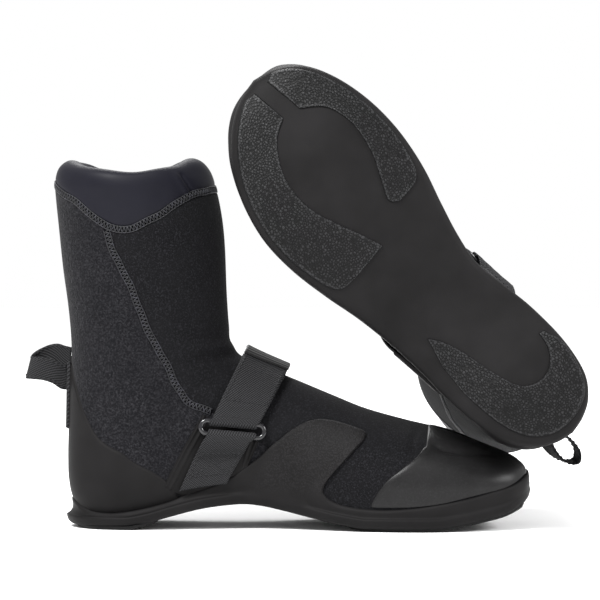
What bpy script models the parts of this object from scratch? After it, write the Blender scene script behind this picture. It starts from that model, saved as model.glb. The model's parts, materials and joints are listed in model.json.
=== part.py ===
# A pair of neoprene surf boots with an inside split toe. The left boot stands, the right one leans on its toe.
# Lengths are in millimetres until a mesh is made. In a boot's own frame x runs from the heel to the toe,
# z is up and the outer (little toe) side of the left boot is at +y. The right boot is its mirror image.
import math

import bmesh
import bpy
import numpy as np
from mathutils import Matrix, Vector
from mathutils.bvhtree import BVHTree

MM = 0.001

# Driving dimensions
BOOT_LENGTH = 289.0       # sock, heel to toe
BOOT_HEIGHT = 231.0       # sole to the top of the cuff
BALL_WIDTH = 101.6        # sock, across the ball of the foot
NEOPRENE = 4.0            # panels of the sock
CUFF_WALL = 3.0           # smooth-skin collar
SEAM_GAP = 1.3            # between panels that meet edge to edge
SOLE_SEAM_GAP = 3.6       # between the sides and the bottom panel, under the foot
LAYER_LIFT = 1.2          # glue line between the sock and what is laid on it
STACK_GAP = 0.4           # between two layers of the strap
OVERLAY = 1.2             # rubber sheet over the heel, the toe and the strap's base
FOXING = 2.2              # wall of the cup sole at its top edge, measured from the sock
SIDEWALL = 6.5            # tread to the sole's widest line
FLARE_HEIGHT = 8.0        # over which the wall runs out from the sock to the widest line
TREAD = 1.0               # height of the tread pads
TREAD_GAP = 0.4           # between a pad and the sole it is moulded on
FOOTBED = 2.5
FOOTBED_LIFT = 1.2        # between the bottom panel and the footbed
STRAP_WIDTH = 30.0
STRAP = 1.2               # thickness of the webbing
FASTENER = 0.7            # thickness of a hook or loop patch
RING_WIRE = 3.2
RING_DEPTH = 8.0          # between the centre lines of the ring's two long bars
RING_PLAY = 0.8           # between the strap's edge and the ring's wire
BAR_PLAY = 0.3            # between the ring's wire and the webbing around it
PULL_TAB_LENGTH = 14.0
LOOP_WIDTH = 14.5
LOOP_WEB = 1.2
LOOP_REACH = 23.0         # heel surface to the loop's fold
LOOP_SPREAD = 13.0        # between the loop's two strands
STITCH_WIDTH = 5.0
STITCH_LIFT = 0.6
STITCH_THICKNESS = 0.5
DIVIDER = 3.0             # web between the big toe and the others
LEAN_HEEL = (287.5, -70.0, 86.5)   # where the leaning boot's heel centre is, in the standing boot's frame
LEAN_PITCH = 46.2         # degrees from level, heel to toe
LEAN_ROLL = 4.5           # degrees that the leaning boot's shaft tips to its outer side

# The last is a fan of sections. Each runs from a point of the front line (instep, shin) to one of the back line
# (sole, heel, calf): front x z, back x z, half width, its centre in y, height of the widest line as a share,
# roundness power below and above that line, and how far the section's sides dip.
BASE_LENGTH, BASE_HEIGHT, BASE_WIDTH, BASE_STRAP = 289.0, 231.0, 101.6, 30.0
SECTIONS = np.array((
    (289.0, 27.0, 289.0, 27.0, 0.0, -12.5, 0.50, 2.0, 2.0, 0),
    (288.0, 36.0, 286.5, 19.5, 14.0, -12.2, 0.50, 2.3, 2.0, 0),
    (284.5, 41.0, 281.0, 16.0, 23.5, -10.5, 0.45, 3.0, 2.0, 0),
    (277.0, 45.5, 272.5, 13.0, 32.0, -8.8, 0.42, 4.0, 2.0, 0),
    (263.0, 51.0, 259.0, 9.9, 40.5, -6.3, 0.40, 5.0, 2.0, 0),
    (240.0, 60.0, 238.0, 6.4, 47.5, -3.2, 0.36, 6.0, 2.0, 0),
    (213.0, 66.5, 210.0, 5.0, 50.8, -0.7, 0.34, 6.0, 2.0, 0),
    (188.0, 73.5, 185.0, 5.2, 48.5, 0.8, 0.34, 6.0, 2.0, 0),
    (168.0, 81.5, 160.0, 10.6, 43.5, 2.0, 0.34, 6.0, 2.0, 0),
    (150.0, 89.0, 134.0, 16.0, 38.5, 2.6, 0.36, 5.5, 2.0, 0),
    (136.0, 94.8, 108.0, 19.0, 35.8, 2.4, 0.40, 5.0, 1.95, 0),
    (124.0, 100.0, 80.0, 15.0, 35.2, 1.0, 0.42, 5.0, 1.95, 0),
    (114.5, 104.5, 54.0, 8.6, 35.4, -0.4, 0.44, 5.0, 1.95, 0),
    (108.0, 108.2, 30.0, 5.0, 35.2, -1.2, 0.46, 4.5, 1.95, 0),
    (104.8, 111.5, 14.0, 8.0, 35.0, -1.5, 0.48, 3.8, 2.0, 0),
    (103.2, 115.5, 5.8, 17.0, 35.2, -1.5, 0.50, 3.0, 2.0, 0),
    (102.6, 120.5, 2.6, 29.0, 35.5, -1.4, 0.50, 2.5, 2.0, 0),
    (102.2, 127.0, 2.0, 44.0, 36.0, -1.2, 0.50, 2.3, 2.0, 0),
    (101.8, 136.0, 2.4, 64.0, 36.3, -1.0, 0.50, 2.2, 2.0, 0),
    (101.2, 148.0, 2.8, 88.0, 36.8, -0.8, 0.50, 2.1, 2.0, 0),
    (100.5, 161.0, 3.2, 112.0, 37.2, -0.6, 0.50, 2.1, 2.0, 0),
    (99.6, 175.0, 1.2, 138.0, 37.6, -0.4, 0.50, 2.0, 2.0, 0),
    (98.2, 190.0, -2.2, 163.0, 38.0, -0.2, 0.50, 2.0, 2.0, 0),
    (96.0, 204.0, -5.0, 187.0, 38.4, 0.0, 0.50, 2.0, 2.0, 0.5),
    (93.2, 215.5, -6.6, 205.0, 38.6, 0.0, 0.50, 2.0, 2.0, 2.0),
    (90.0, 223.0, -6.8, 216.5, 38.4, 0.0, 0.50, 2.0, 2.0, 4.5),
    (85.5, 228.5, -4.4, 224.5, 36.8, 0.0, 0.50, 2.0, 2.0, 6.5),
    (79.5, 231.0, 1.5, 229.0, 33.8, 0.0, 0.50, 2.0, 2.0, 8.0),
    (74.0, 229.5, 7.5, 228.5, 30.5, 0.0, 0.50, 2.0, 2.0, 8.0),
    (71.0, 225.0, 11.0, 225.0, 28.0, 0.0, 0.50, 2.0, 2.0, 8.0),
))
TOP = len(SECTIONS) - 1
TOE_WRAP, HEEL_TURN = 1.2, 14.0       # sections between which the bottom panel lies
SHANK_END = 11.5                      # section where the bottom panel starts to narrow to the heel
SOLE_ANGLE = 0.83 * math.pi           # where the sides of the sock turn under
STRAP_SECTION = 11.0                  # the section that the strap's centre line follows

# Lines of the side view, x and z on the base last.
SIDE_SEAM = ((25.5, 190), (31, 173.8), (42.8, 149), (53.4, 122.5), (67.5, 96.3), (86.3, 75), (104, 64),
             (122.5, 54), (134, 43), (144, 30), (149, 21))
CUFF_SEAM = ((-6.6, 214.4), (6, 205), (22, 192.5), (38.8, 186.3), (58, 195), (76, 206.5), (88, 210.6), (94, 211.5))
HEEL_TOP = ((3.2, 106.7), (4.5, 99), (9.8, 80), (19.4, 60), (36, 48), (52.5, 37.5), (70, 27.5))
FOXING_INNER = ((-4, 18.9), (1.3, 18.9), (9, 10.8), (17.5, 8.5), (30.6, 9), (48, 12.5), (65.6, 17), (78, 23.8),
                (87.5, 25.3), (97, 28.9), (107, 34.2), (115.4, 40.4), (123, 46), (128.8, 51.9), (135, 56),
                (141, 61.4), (149.4, 66.4), (156, 68.1), (167.5, 67.2), (181, 63.8), (192, 61), (199, 55),
                (207, 22), (212, 15), (224.4, 15), (249.8, 20), (266.9, 24.5), (279.8, 28.3), (287, 33), (296, 37))
FOXING_OUTER = ((-4, 18.9), (1.3, 18.9), (9, 10.8), (30.6, 9), (48, 12.5), (78, 21), (107, 25), (140, 21.5),
                (165, 16.5), (190, 14), (224.4, 15), (249.8, 20), (279.8, 28.3), (287, 33), (296, 37))
WING_NOTCH = ((189.5, 76), (188.2, 61), (186.8, 56.4), (183, 52.5), (175.9, 45), (167.5, 35.6), (162.5, 29.4),
              (161.3, 24.4), (164.4, 20.2), (170.6, 16.6), (181, 14.4), (196.9, 13), (212, 13.6), (222, 14.8),
              (222, 76))
ANCHOR_TOP = ((86.5, 71.5), (98, 66), (110, 60), (121, 54.5))
ANCHOR_BOTTOM = ((66, 34), (80, 28.5), (97, 33.5), (115, 44.5))
TOE_REAR = ((191, 17), (197.5, 27.8), (209.4, 38.5), (219, 46), (226, 54))
RING_CENTRE = (104.6, 61.9)
ANKLE_AXIS = (2.0, 97.0)              # where the pull loop bends, x and z

# The sole's underside, x and z, and its outline, x and y.
UNDERSIDE = ((-6, 0), (8, 0), (20, 0), (38, 0), (46, 1.2), (55, 3.3), (65, 6.3), (86, 11.5), (108, 14), (122, 13.2),
             (137, 10.2), (153, 6.4), (168, 3), (182, 0.6), (190, 0), (226, 0), (240, 1.3), (261, 5.3), (274, 8.2),
             (283, 11.7), (292, 16.5))
OUTLINE = ((0, -3), (2.5, -14), (9, -25), (22, -34), (45, -38.5), (72, -39), (95, -36.5), (116, -34.2), (136, -37.2),
           (158, -43), (180, -49.5), (205, -54), (228, -54.5), (250, -51.5), (268, -45.5), (280, -37.5), (288, -26),
           (291.5, -12.5), (288.5, 1), (282, 14), (272, 26), (257, 38), (238, 47), (215, 52.5), (190, 52.5),
           (165, 48.5), (140, 43), (115, 39.5), (92, 38), (68, 38), (45, 36), (24, 30.5), (9, 19), (2.5, 8))
HEEL_AXIS, TOE_AXIS = (36.0, -1.5), (238.0, -4.0)   # ends of the line that the sole's rings close on

# Tread pads, x and y on the base sole, inner side positive towards the arch (-y).
HEEL_PAD = ((104, 21), (96, 15.5), (81, 10.6), (62, 7), (47, 2.6), (40, -4), (38, -13), (42, -22), (50, -27.5),
            (59, -29.5), (58, -34), (44, -34.8), (28, -31.5), (17, -26), (10.5, -16), (8.6, -3), (11.5, 8),
            (20, 17.5), (36, 24), (60, 26.5), (84, 26.8))
INNER_PAD = ((285, -16.5), (259, -19), (250, -30), (240, -34.5), (225.5, -35.5), (207, -31), (190, -22.5),
             (181, -19), (176, -24), (176, -34), (184, -43), (205, -48.3), (228, -49), (250, -46), (266, -40.5),
             (277, -33.5), (284, -24.5))
OUTER_PAD = ((285.5, -7), (261.5, -8.5), (254, 4), (240, 14), (225, 18.5), (209, 18), (192, 12.4), (177, 6.3),
             (163, 1.5), (160, 12), (161, 28), (166, 40.5), (190, 46.8), (215, 46.8), (236, 41.8), (253, 33.5),
             (267.5, 22.5), (277, 11.5), (283, 1.5))


# ---- the last ----

def smooth(rows, at):
    """Values at fractional row numbers, on a Catmull-Rom curve through the rows."""
    rows = np.asarray(rows, float)
    ends = np.vstack([2 * rows[0] - rows[1], rows, 2 * rows[-1] - rows[-2]])
    at = np.clip(np.asarray(at, float), 0, len(rows) - 1)
    first = np.minimum(at.astype(int), len(rows) - 2)
    t = (at - first)[..., None]
    a, b, c, d = (ends[first + k] for k in range(4))
    return b + t / 2 * (c - a + t * (2 * a - 5 * b + 4 * c - d + t * (3 * (b - c) + d - a)))


def grade(points):
    """Base last to this boot's size."""
    return np.asarray(points, float) * (BOOT_LENGTH / BASE_LENGTH, BALL_WIDTH / BASE_WIDTH, BOOT_HEIGHT / BASE_HEIGHT)


def surface(section, angle):
    """Sock's outer surface. The angle is 0 on the front line, pi on the back line, and positive on the outer side."""
    section, angle = np.broadcast_arrays(np.asarray(section, float), np.asarray(angle, float))
    row = smooth(SECTIONS, section)
    front, back = row[..., 0:2], row[..., 2:4]
    width, centre, widest, low, high, dip = np.moveaxis(row[..., 4:], -1, 0)
    up, side = np.cos(angle), np.sin(angle)
    power = np.where(up > 0, high, low)
    reach = (np.abs(up) ** power + np.abs(side) ** power) ** (-1 / power)
    share = widest + np.where(up > 0, 1 - widest, widest) * reach * up
    spot = back + share[..., None] * (front - back)
    return grade(np.stack([spot[..., 0], centre + np.maximum(width, 0) * reach * side,
                           spot[..., 1] - dip * side * side], axis=-1))


def rates(section, angle):
    """How the surface moves, in mm, for one section and for one radian."""
    section = np.clip(section, 0.12, TOP - 0.02)
    by_section = (surface(section + 0.01, angle) - surface(section - 0.01, angle)) / 0.02
    by_angle = (surface(section, angle + 0.01) - surface(section, angle - 0.01)) / 0.02
    return by_section, by_angle


def outward(section, angle):
    by_section, by_angle = rates(section, angle)
    normal = np.cross(by_angle, by_section)
    return normal / np.linalg.norm(normal, axis=-1, keepdims=True)


def lifted(section, angle, lift):
    """Point at this height over the sock."""
    return surface(section, angle) + outward(section, angle) * np.asarray(lift, float)[..., None]


def place(x, z):
    """Section and angle (without sign) at which the fan passes through a point of the side view."""
    at = np.linspace(0.02, TOP - 3, 3000)
    row = smooth(SECTIONS, at)
    span, off = row[:, 0:2] - row[:, 2:4], np.array((x, z)) - row[:, 2:4]
    turn = span[:, 0] * off[:, 1] - span[:, 1] * off[:, 0]
    share = (span * off).sum(1) / (span ** 2).sum(1)
    crossing = (turn[:-1] * turn[1:] <= 0) & (share[:-1] > -0.3) & (share[:-1] < 1.3)
    k = int(np.nonzero(crossing)[0][0])
    angles = np.linspace(0, math.pi, 721)
    row = row[k]
    up, side = np.cos(angles), np.sin(angles)
    power = np.where(up > 0, row[8], row[7])
    reach = (np.abs(up) ** power + side ** power) ** (-1 / power)
    heights = row[6] + np.where(up > 0, 1 - row[6], row[6]) * reach * up
    return at[k], float(np.interp(share[k], heights[::-1], angles[::-1]))


def line(points):
    """Side-view line as a dense list of (section, angle)."""
    found = np.array([place(x, z) for x, z in points])
    return smooth(found, np.linspace(0, len(found) - 1, 12 * len(found)))


def lookup(pairs, at):
    order = np.argsort(pairs[:, 0])
    return np.interp(at, pairs[order, 0], pairs[order, 1])


SIDE_LINE = line(SIDE_SEAM)
CUFF_LINE = line(CUFF_SEAM)[:, ::-1]


def side_seam(section):
    return lookup(SIDE_LINE, section)


def cuff_seam(angle):
    return lookup(CUFF_LINE, np.abs((np.asarray(angle) + math.pi) % (2 * math.pi) - math.pi))


def sole_edge(section):
    """Angle where the bottom panel meets the sides: it closes round at the toe and at the heel."""
    toe = np.clip((section - TOE_WRAP) / 1.3, 0, 1)
    heel = np.clip((section - SHANK_END) / (HEEL_TURN - SHANK_END), 0, 1)
    narrow = (3 - 2 * toe) * toe ** 2 * (1 - (3 - 2 * heel) * heel ** 2)
    return math.pi - (math.pi - SOLE_ANGLE) * narrow


def half_gap(section, angle, sideways=True, gap=SEAM_GAP):
    """Half a seam's gap, as an angle or as a share of a section. It widens with the facets of a longer boot."""
    by_section, by_angle = rates(section, angle)
    gap *= max(1, BOOT_LENGTH / BASE_LENGTH)
    return gap / 2 / np.linalg.norm(by_angle if sideways else by_section, axis=-1)


def underside(x):
    """Height of the tread's bottom over the ground."""
    points = smooth(np.array(UNDERSIDE, float), np.linspace(0, len(UNDERSIDE) - 1, 400))
    ratio = BOOT_LENGTH / BASE_LENGTH
    return np.interp(np.asarray(x) / ratio, points[:, 0], np.maximum(points[:, 1], 0)) * BOOT_HEIGHT / BASE_HEIGHT


# ---- the strap's own coordinates ----

def strap_table():
    """Angles and distances along the strap's centre line, 0 at the ridge of the instep, outer side positive."""
    angles = np.linspace(-2.6, 2.6, 2001)
    points = surface(STRAP_SECTION, angles)
    steps = np.concatenate([[0], np.cumsum(np.linalg.norm(np.diff(points, axis=0), axis=1))])
    return angles, steps - np.interp(0, angles, steps)


STRAP_ANGLES, STRAP_STEPS = strap_table()


def along_strap(distance):
    return np.interp(distance, STRAP_STEPS, STRAP_ANGLES)


def across_strap(angle, offset):
    """Section at this distance to the heel side of the centre line."""
    sections = STRAP_SECTION + np.linspace(-2.2, 2.2, 89)
    points = surface(sections, angle)
    steps = np.concatenate([[0], np.cumsum(np.linalg.norm(np.diff(points, axis=0), axis=1))])
    steps -= np.interp(STRAP_SECTION, sections, steps)
    return np.interp(offset, steps, sections)


def strap_rows(distances, width, lifts, columns=3):
    """Rows of points across the strap at these distances, each at its lift over the sock."""
    offsets = np.linspace(width / 2, -width / 2, columns)
    rows = []
    for distance, lift in zip(distances, lifts):
        angle = along_strap(distance)
        rows.append(lifted(across_strap(angle, offsets), angle, np.full(columns, float(lift))))
    return np.array(rows)


def ring_frame():
    """Centre of the ring and its three directions: along the bars to the heel, up the strap, away from the boot."""
    section, angle = place(*RING_CENTRE)
    normal = outward(section, -angle)
    by_section, _ = rates(section, -angle)
    bars = by_section - normal * np.dot(by_section, normal)
    bars /= np.linalg.norm(bars)
    up = np.cross(bars, normal)
    up *= np.sign(up[2])
    centre = surface(section, -angle) + normal * ring_lift()
    return centre, bars, up, normal


def ring_lift():
    """Height of the ring's wire over the sock: the anchor's sheet and the webbing's turn are under it."""
    return LAYER_LIFT + OVERLAY + STACK_GAP + STRAP + BAR_PLAY + RING_WIRE / 2


RING_AT, RING_BARS, RING_UP, RING_OUT = ring_frame()
RING_DISTANCE = float(np.interp(-place(*RING_CENTRE)[1], STRAP_ANGLES, STRAP_STEPS))
STRAP_LIFT = LAYER_LIFT
LOOP_PATCH_LIFT = STRAP_LIFT + STRAP + STACK_GAP
HOOK_PATCH_LIFT = LOOP_PATCH_LIFT + FASTENER + STACK_GAP
FLAP_LIFT = HOOK_PATCH_LIFT + FASTENER + STACK_GAP
WRAP_RADIUS = RING_WIRE / 2 + BAR_PLAY


def round_bar(which, first, last, columns, steps):
    """Rows of webbing around one bar of the ring, by angle in degrees from the upward direction to the outward one."""
    centre = RING_AT + RING_UP * which * RING_DEPTH / 2
    offsets = np.linspace(STRAP_WIDTH / 2, -STRAP_WIDTH / 2, columns)
    rows = []
    for turn in np.radians(np.linspace(first, last, steps)):
        spoke = RING_UP * math.cos(turn) + RING_OUT * math.sin(turn)
        rows.append([centre + WRAP_RADIUS * spoke + RING_BARS * offset for offset in offsets])
    return np.array(rows)


# ---- making objects ----

for old in list(bpy.data.objects):
    bpy.data.objects.remove(old)


def collection(name):
    made = bpy.data.collections.new(name)
    bpy.context.scene.collection.children.link(made)
    return made


PARTS = collection("neoprene_boots")
CUTTERS = collection("cutters")
CUTTERS.hide_render = True


def finish(name, colour, roughness, metallic=0.0):
    material = bpy.data.materials.new(name)
    material.use_nodes = True
    shader = material.node_tree.nodes["Principled BSDF"]
    shader.inputs["Base Color"].default_value = (*colour, 1)
    shader.inputs["Roughness"].default_value = roughness
    shader.inputs["Metallic"].default_value = metallic
    return material


FINISHES = {
    "jersey": finish("jersey", (0.014, 0.014, 0.016), 0.9),
    "smooth_skin": finish("smooth_skin", (0.022, 0.022, 0.03), 0.5),
    "rubber": finish("rubber", (0.02, 0.02, 0.021), 0.6),
    "tread_rubber": finish("tread_rubber", (0.018, 0.018, 0.019), 0.75),
    "toe_rubber": finish("toe_rubber", (0.02, 0.02, 0.021), 0.4),
    "webbing": finish("webbing", (0.02, 0.02, 0.021), 0.8),
    "hook_and_loop": finish("hook_and_loop", (0.01, 0.01, 0.012), 0.95),
    "ring_plastic": finish("ring_plastic", (0.02, 0.02, 0.022), 0.2),
    "thread": finish("thread", (0.012, 0.012, 0.016), 0.6),
    "footbed_foam": finish("footbed_foam", (0.03, 0.03, 0.034), 0.85),
}


class Boot:
    """Frame, names and mirroring of one boot."""

    def __init__(self, side, frame, flip):
        self.side, self.frame, self.flip = side, frame, flip

    def point(self, spot):
        return Vector((spot[0] * MM, spot[1] * MM * self.flip, spot[2] * MM))

    def pivot(self, name, spot):
        empty = bpy.data.objects.new(f"{self.side}_{name}", None)
        PARTS.objects.link(empty)
        empty.empty_display_size = 0.01
        empty.parent = self.frame
        empty.location = self.point(spot)
        return empty

    def put(self, name, points, faces, material, pivot=None, where=None):
        """Object with this mesh, placed under the boot's frame or under the pivot on its joint's axis."""
        mesh = bpy.data.meshes.new(f"{self.side}_{name}")
        points = np.asarray(points, float).reshape(-1, 3) * MM * (1, self.flip, 1)
        if pivot:
            points = points - np.array(pivot.location)
        mesh.from_pydata([tuple(p) for p in points], [], [tuple(face) for face in faces])
        shape = bmesh.new()
        shape.from_mesh(mesh)
        bmesh.ops.remove_doubles(shape, verts=shape.verts, dist=1e-6)
        if self.flip < 0:
            bmesh.ops.reverse_faces(shape, faces=shape.faces)
        shape.to_mesh(mesh)
        shape.free()
        mesh.materials.append(FINISHES[material])
        made = bpy.data.objects.new(f"{self.side}_{name}", mesh)
        (where or PARTS).objects.link(made)
        made.parent = pivot or self.frame
        return made

    def thicken(self, made, thickness, side):
        """Wall of this thickness, laid inwards (-1), outwards (1) or both ways (0) of the faces."""
        solid = made.modifiers.new("thickness", "SOLIDIFY")
        solid.thickness = thickness * MM
        solid.offset = side
        return made

    def sheet(self, name, rows, thickness, side, material, pivot=None):
        made = self.put(name, rows, grid_faces(*np.shape(rows)[:2]), material, pivot)
        return self.thicken(made, thickness, side)

    def prism(self, name, outline, low, high, material, where=None):
        """Side-view outline, anticlockwise or not, pulled out in y from low to high."""
        x, z = (grade(np.column_stack([outline[:, 0], outline[:, 0] * 0, outline[:, 1]])))[:, [0, 2]].T
        area = np.dot(x, np.roll(z, -1)) - np.dot(z, np.roll(x, -1))
        order = slice(None) if area > 0 else slice(None, None, -1)
        x, z, count = x[order], z[order], len(x)
        points = [(a, y, b) for y in (low, high) for a, b in zip(x, z)]
        faces = [list(range(count)), list(range(2 * count - 1, count - 1, -1))]
        faces += [[k, k + count, (k + 1) % count + count, (k + 1) % count] for k in range(count)]
        return self.put(name, points, faces, material, where=where)

    def cutter(self, name, points, faces):
        made = self.put(name, points, faces, "rubber", where=CUTTERS)
        made.hide_render = True
        made.display_type = "WIRE"
        return made


def grid_faces(rows, columns):
    at = np.arange(rows * columns).reshape(rows, columns)
    return np.stack([at[:-1, :-1], at[:-1, 1:], at[1:, 1:], at[1:, :-1]], axis=-1).reshape(-1, 4).tolist()


def cut(target, tool):
    boolean = target.modifiers.new(tool.name, "BOOLEAN")
    boolean.operation = "DIFFERENCE"
    boolean.solver = "EXACT"
    boolean.object = tool


# ---- the sock ----

FRONT_SECTIONS = np.array([0, 0.3, 0.8, 1.5, 2.2, 3, 4, 5, 6, 7, 8, 8.7, 9.2, 10, 11, 12, 13, 14, 15, 16.3, 18,
                           19.6, 21.2, 22.8])
REAR_SECTIONS = np.array([9.4, 9.8, 10.3, 11, 11.8, 12.6, 13.3, 14, 15, 16, 17.2, 18.4, 19.8, 21.2, 22.8])
SEAM_START = 9.0          # section where the side seam comes out from under the sole


def up_to_cuff(sections, angle_of):
    """One column of a panel: its sections are spread so that the last one is at the cuff's seam."""
    top = 22.8
    for _ in range(6):
        top = float(cuff_seam(angle_of(top)))
    top -= float(half_gap(top, angle_of(top), sideways=False))
    low = sections[0]
    column = low + (sections - low) * (top - low) / (sections[-1] - low)
    return column, np.array([angle_of(section) for section in column])


def bottom_limit(section):
    """Angle of a side panel's lower edge."""
    edge = float(sole_edge(section))
    return edge if edge > math.pi - 1e-3 else edge - float(half_gap(section, edge, gap=SOLE_SEAM_GAP))


def front_limit(section):
    """Angle of the front panel's edge: the sole's edge, then the side seam."""
    edge = bottom_limit(section)
    if section > SEAM_START:
        seam = float(side_seam(section))
        edge = min(edge, seam - float(half_gap(section, seam)))
    return edge


def rear_limits(section):
    seam = float(side_seam(section))
    return seam + float(half_gap(section, seam)), bottom_limit(section)


def front_panel(boot):
    columns = np.array([up_to_cuff(FRONT_SECTIONS, lambda section: share * front_limit(section))
                        for share in np.linspace(-1, 1, 19)])
    return boot.sheet("front_panel", surface(columns[:, 0].T, columns[:, 1].T), NEOPRENE, -1, "jersey")


def rear_half(sign):
    def angle(section, share):
        seam, edge = rear_limits(section)
        return sign * (seam + share * (edge - seam))
    columns = np.array([up_to_cuff(REAR_SECTIONS, lambda section: angle(section, share))
                        for share in np.linspace(0, 1, 8)[::sign]])
    return surface(columns[:, 0].T, columns[:, 1].T)


def rear_panel(boot):
    points, faces = [], []
    for sign in (1, -1):
        rows = rear_half(sign)
        faces += [[k + len(points) for k in face] for face in grid_faces(*rows.shape[:2])]
        points += rows.reshape(-1, 3).tolist()
    return boot.thicken(boot.put("rear_panel", points, faces, "jersey"), NEOPRENE, -1)


def cuff(boot):
    angles = np.linspace(-math.pi, math.pi, 29)
    seam = cuff_seam(angles)
    start = seam + half_gap(seam, angles, sideways=False)
    sections = start + np.linspace(0, 1, 7)[:, None] ** 0.8 * (TOP - start)
    return boot.sheet("cuff", surface(sections, angles), CUFF_WALL, -1, "smooth_skin")


def bottom_grid(first, last, rows, columns, margin):
    """Sections and angles of a strip under the foot, this far (radians) inside the bottom panel's edge."""
    sections = first + np.linspace(0, 1, rows) * (last - first)
    edges = sole_edge(sections) + margin
    shares = np.linspace(0, 1, columns)
    angles = edges[:, None] + shares * (2 * (math.pi - edges))[:, None]
    return np.broadcast_to(sections[:, None], angles.shape), angles


def sock_bottom(boot):
    sections, angles = bottom_grid(TOE_WRAP + 1.6, HEEL_TURN - 0.3, 14, 6, 0.03)
    return boot.sheet("sock_bottom", surface(sections, angles), NEOPRENE, -1, "jersey")


def footbed(boot):
    sections, angles = bottom_grid(TOE_WRAP + 2.2, HEEL_TURN - 1.2, 13, 6, 0.09)
    rows = lifted(sections, angles, np.full(angles.shape, -(NEOPRENE + FOOTBED_LIFT)))
    return boot.sheet("footbed", rows, FOOTBED, -1, "footbed_foam")


def toe_divider(boot):
    outline = np.array(((258, 24), (270, 25.5), (275, 30), (272, 36), (262, 40), (252, 41), (250, 34), (252, 26)))
    return boot.prism("toe_divider", outline, -9.5 - DIVIDER / 2, -9.5 + DIVIDER / 2, "jersey")


# ---- the cup sole and its tread ----

def closed_curve(points, steps):
    rows = np.vstack([points[-1:], points, points[:2]])
    return smooth(rows, 1 + np.arange(steps * len(points)) / steps)


def sock_tree():
    """The sock as a closed tree for finding its wall."""
    rows = surface(np.linspace(0, 20, 121)[:, None], np.linspace(-math.pi, math.pi, 145))
    return BVHTree.FromPolygons(rows.reshape(-1, 3).tolist(), grid_faces(*rows.shape[:2]))


def foxing_height(x, inner):
    base = x * BASE_LENGTH / BOOT_LENGTH
    points = np.array(FOXING_INNER if inner else FOXING_OUTER)
    return float(np.interp(base, points[:, 0], points[:, 1])) * BOOT_HEIGHT / BASE_HEIGHT


def sole_column(spot, inner, tree):
    """One side of the sole at one place of its outline, from the middle of its top, down its wall, to its middle."""
    heel, toe = (np.array(end) * (BOOT_LENGTH / BASE_LENGTH, BALL_WIDTH / BASE_WIDTH) for end in (HEEL_AXIS, TOE_AXIS))
    share = np.clip(np.dot(spot - heel, toe - heel) / np.dot(toe - heel, toe - heel), 0, 1)
    axis = heel + share * (toe - heel)
    radius = np.linalg.norm(spot - axis)
    way = (spot - axis) / radius

    def at(reach, height):
        return [*(axis + way * reach), height]

    def under(reach, height):
        x = (axis + way * reach)[0]
        return at(reach, float(underside(x)) + TREAD + height)

    def wall_at(height):
        return (np.array(found) for found in tree.ray_cast(Vector((*axis, height)), Vector((*way, 0)))[:2])

    def foxing_top(height):
        sock, _ = wall_at(height)
        return foxing_height(sock[0], inner)

    ground = float(underside(spot[0])) + TREAD
    top = foxing_top(foxing_top(ground + 12))
    widest = ground + SIDEWALL
    wall = []
    for height in np.linspace(top, widest, 7)[:-1]:
        sock, normal = wall_at(height)
        skin = sock + normal * FOXING * np.sign(np.dot(normal[:2], way))
        flare = max(0.0, 1 - (height - widest) / FLARE_HEIGHT)
        wall.append(skin + (np.array(at(radius, height)) - skin) * flare ** 2)
    shoulder = wall[0]
    inside = np.linalg.norm(np.array(shoulder[:2]) - axis) - 12
    return [at(inside, top), *wall, at(radius, widest), under(radius - 0.8, 3), under(radius - 2.8, 0.8),
            under(radius - 7, 0), under(radius * 0.55, 0)]


def sole_blank(boot):
    """The sole as one filled block: sections across the foot, closed at the heel and at the toe."""
    tree = sock_tree()
    outline = closed_curve(np.array(OUTLINE, float), 2) * (BOOT_LENGTH / BASE_LENGTH, BALL_WIDTH / BASE_WIDTH)
    half = len(outline) // 2
    rows = []
    for k in range(half + 1):
        inner = np.array(sole_column(outline[k], True, tree))
        outer = np.array(sole_column(outline[-k], False, tree))
        roof, floor = (inner[0] + outer[0]) / 2, (inner[-1] + outer[-1]) / 2
        roof[2] = 0.5 * roof[2] + 10
        floor[2] = float(underside(floor[0])) + TREAD
        if k in (0, half):
            inner = outer = (inner + outer) / 2
            roof, floor = outer[0], outer[-1]
        rows.append([roof, *outer, floor, *inner[::-1], roof])
    return boot.put("outsole", rows, grid_faces(len(rows), len(rows[0])), "rubber")


def sock_cutter(boot):
    """The room for the sock in the sole: wider where the sock's facets turn under the foot."""
    sections = np.concatenate([[0], np.linspace(0.5, 3, 6), np.linspace(4, 18, 15)])[:, None]
    angles = np.linspace(-math.pi, math.pi, 33)
    turn = LAYER_LIFT + 0.7 * np.exp(-((np.abs(angles) - 0.75 * math.pi) / 0.3) ** 2)
    rows = lifted(sections, angles, np.broadcast_to(turn, (len(sections), 33)))
    rows[0] = rows[0].mean(axis=0)
    lid = np.broadcast_to(rows[-1].mean(axis=0), rows[-1:].shape)
    rows = np.concatenate([rows, lid])
    return boot.cutter("sock_cutter", rows, grid_faces(*rows.shape[:2]))


def outsole(boot):
    blank = sole_blank(boot)
    cut(blank, sock_cutter(boot))
    notch = boot.prism("wing_notch", np.array(WING_NOTCH), -90, -8, "rubber", CUTTERS)
    notch.hide_render, notch.display_type = True, "WIRE"
    cut(blank, notch)
    return blank


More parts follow.
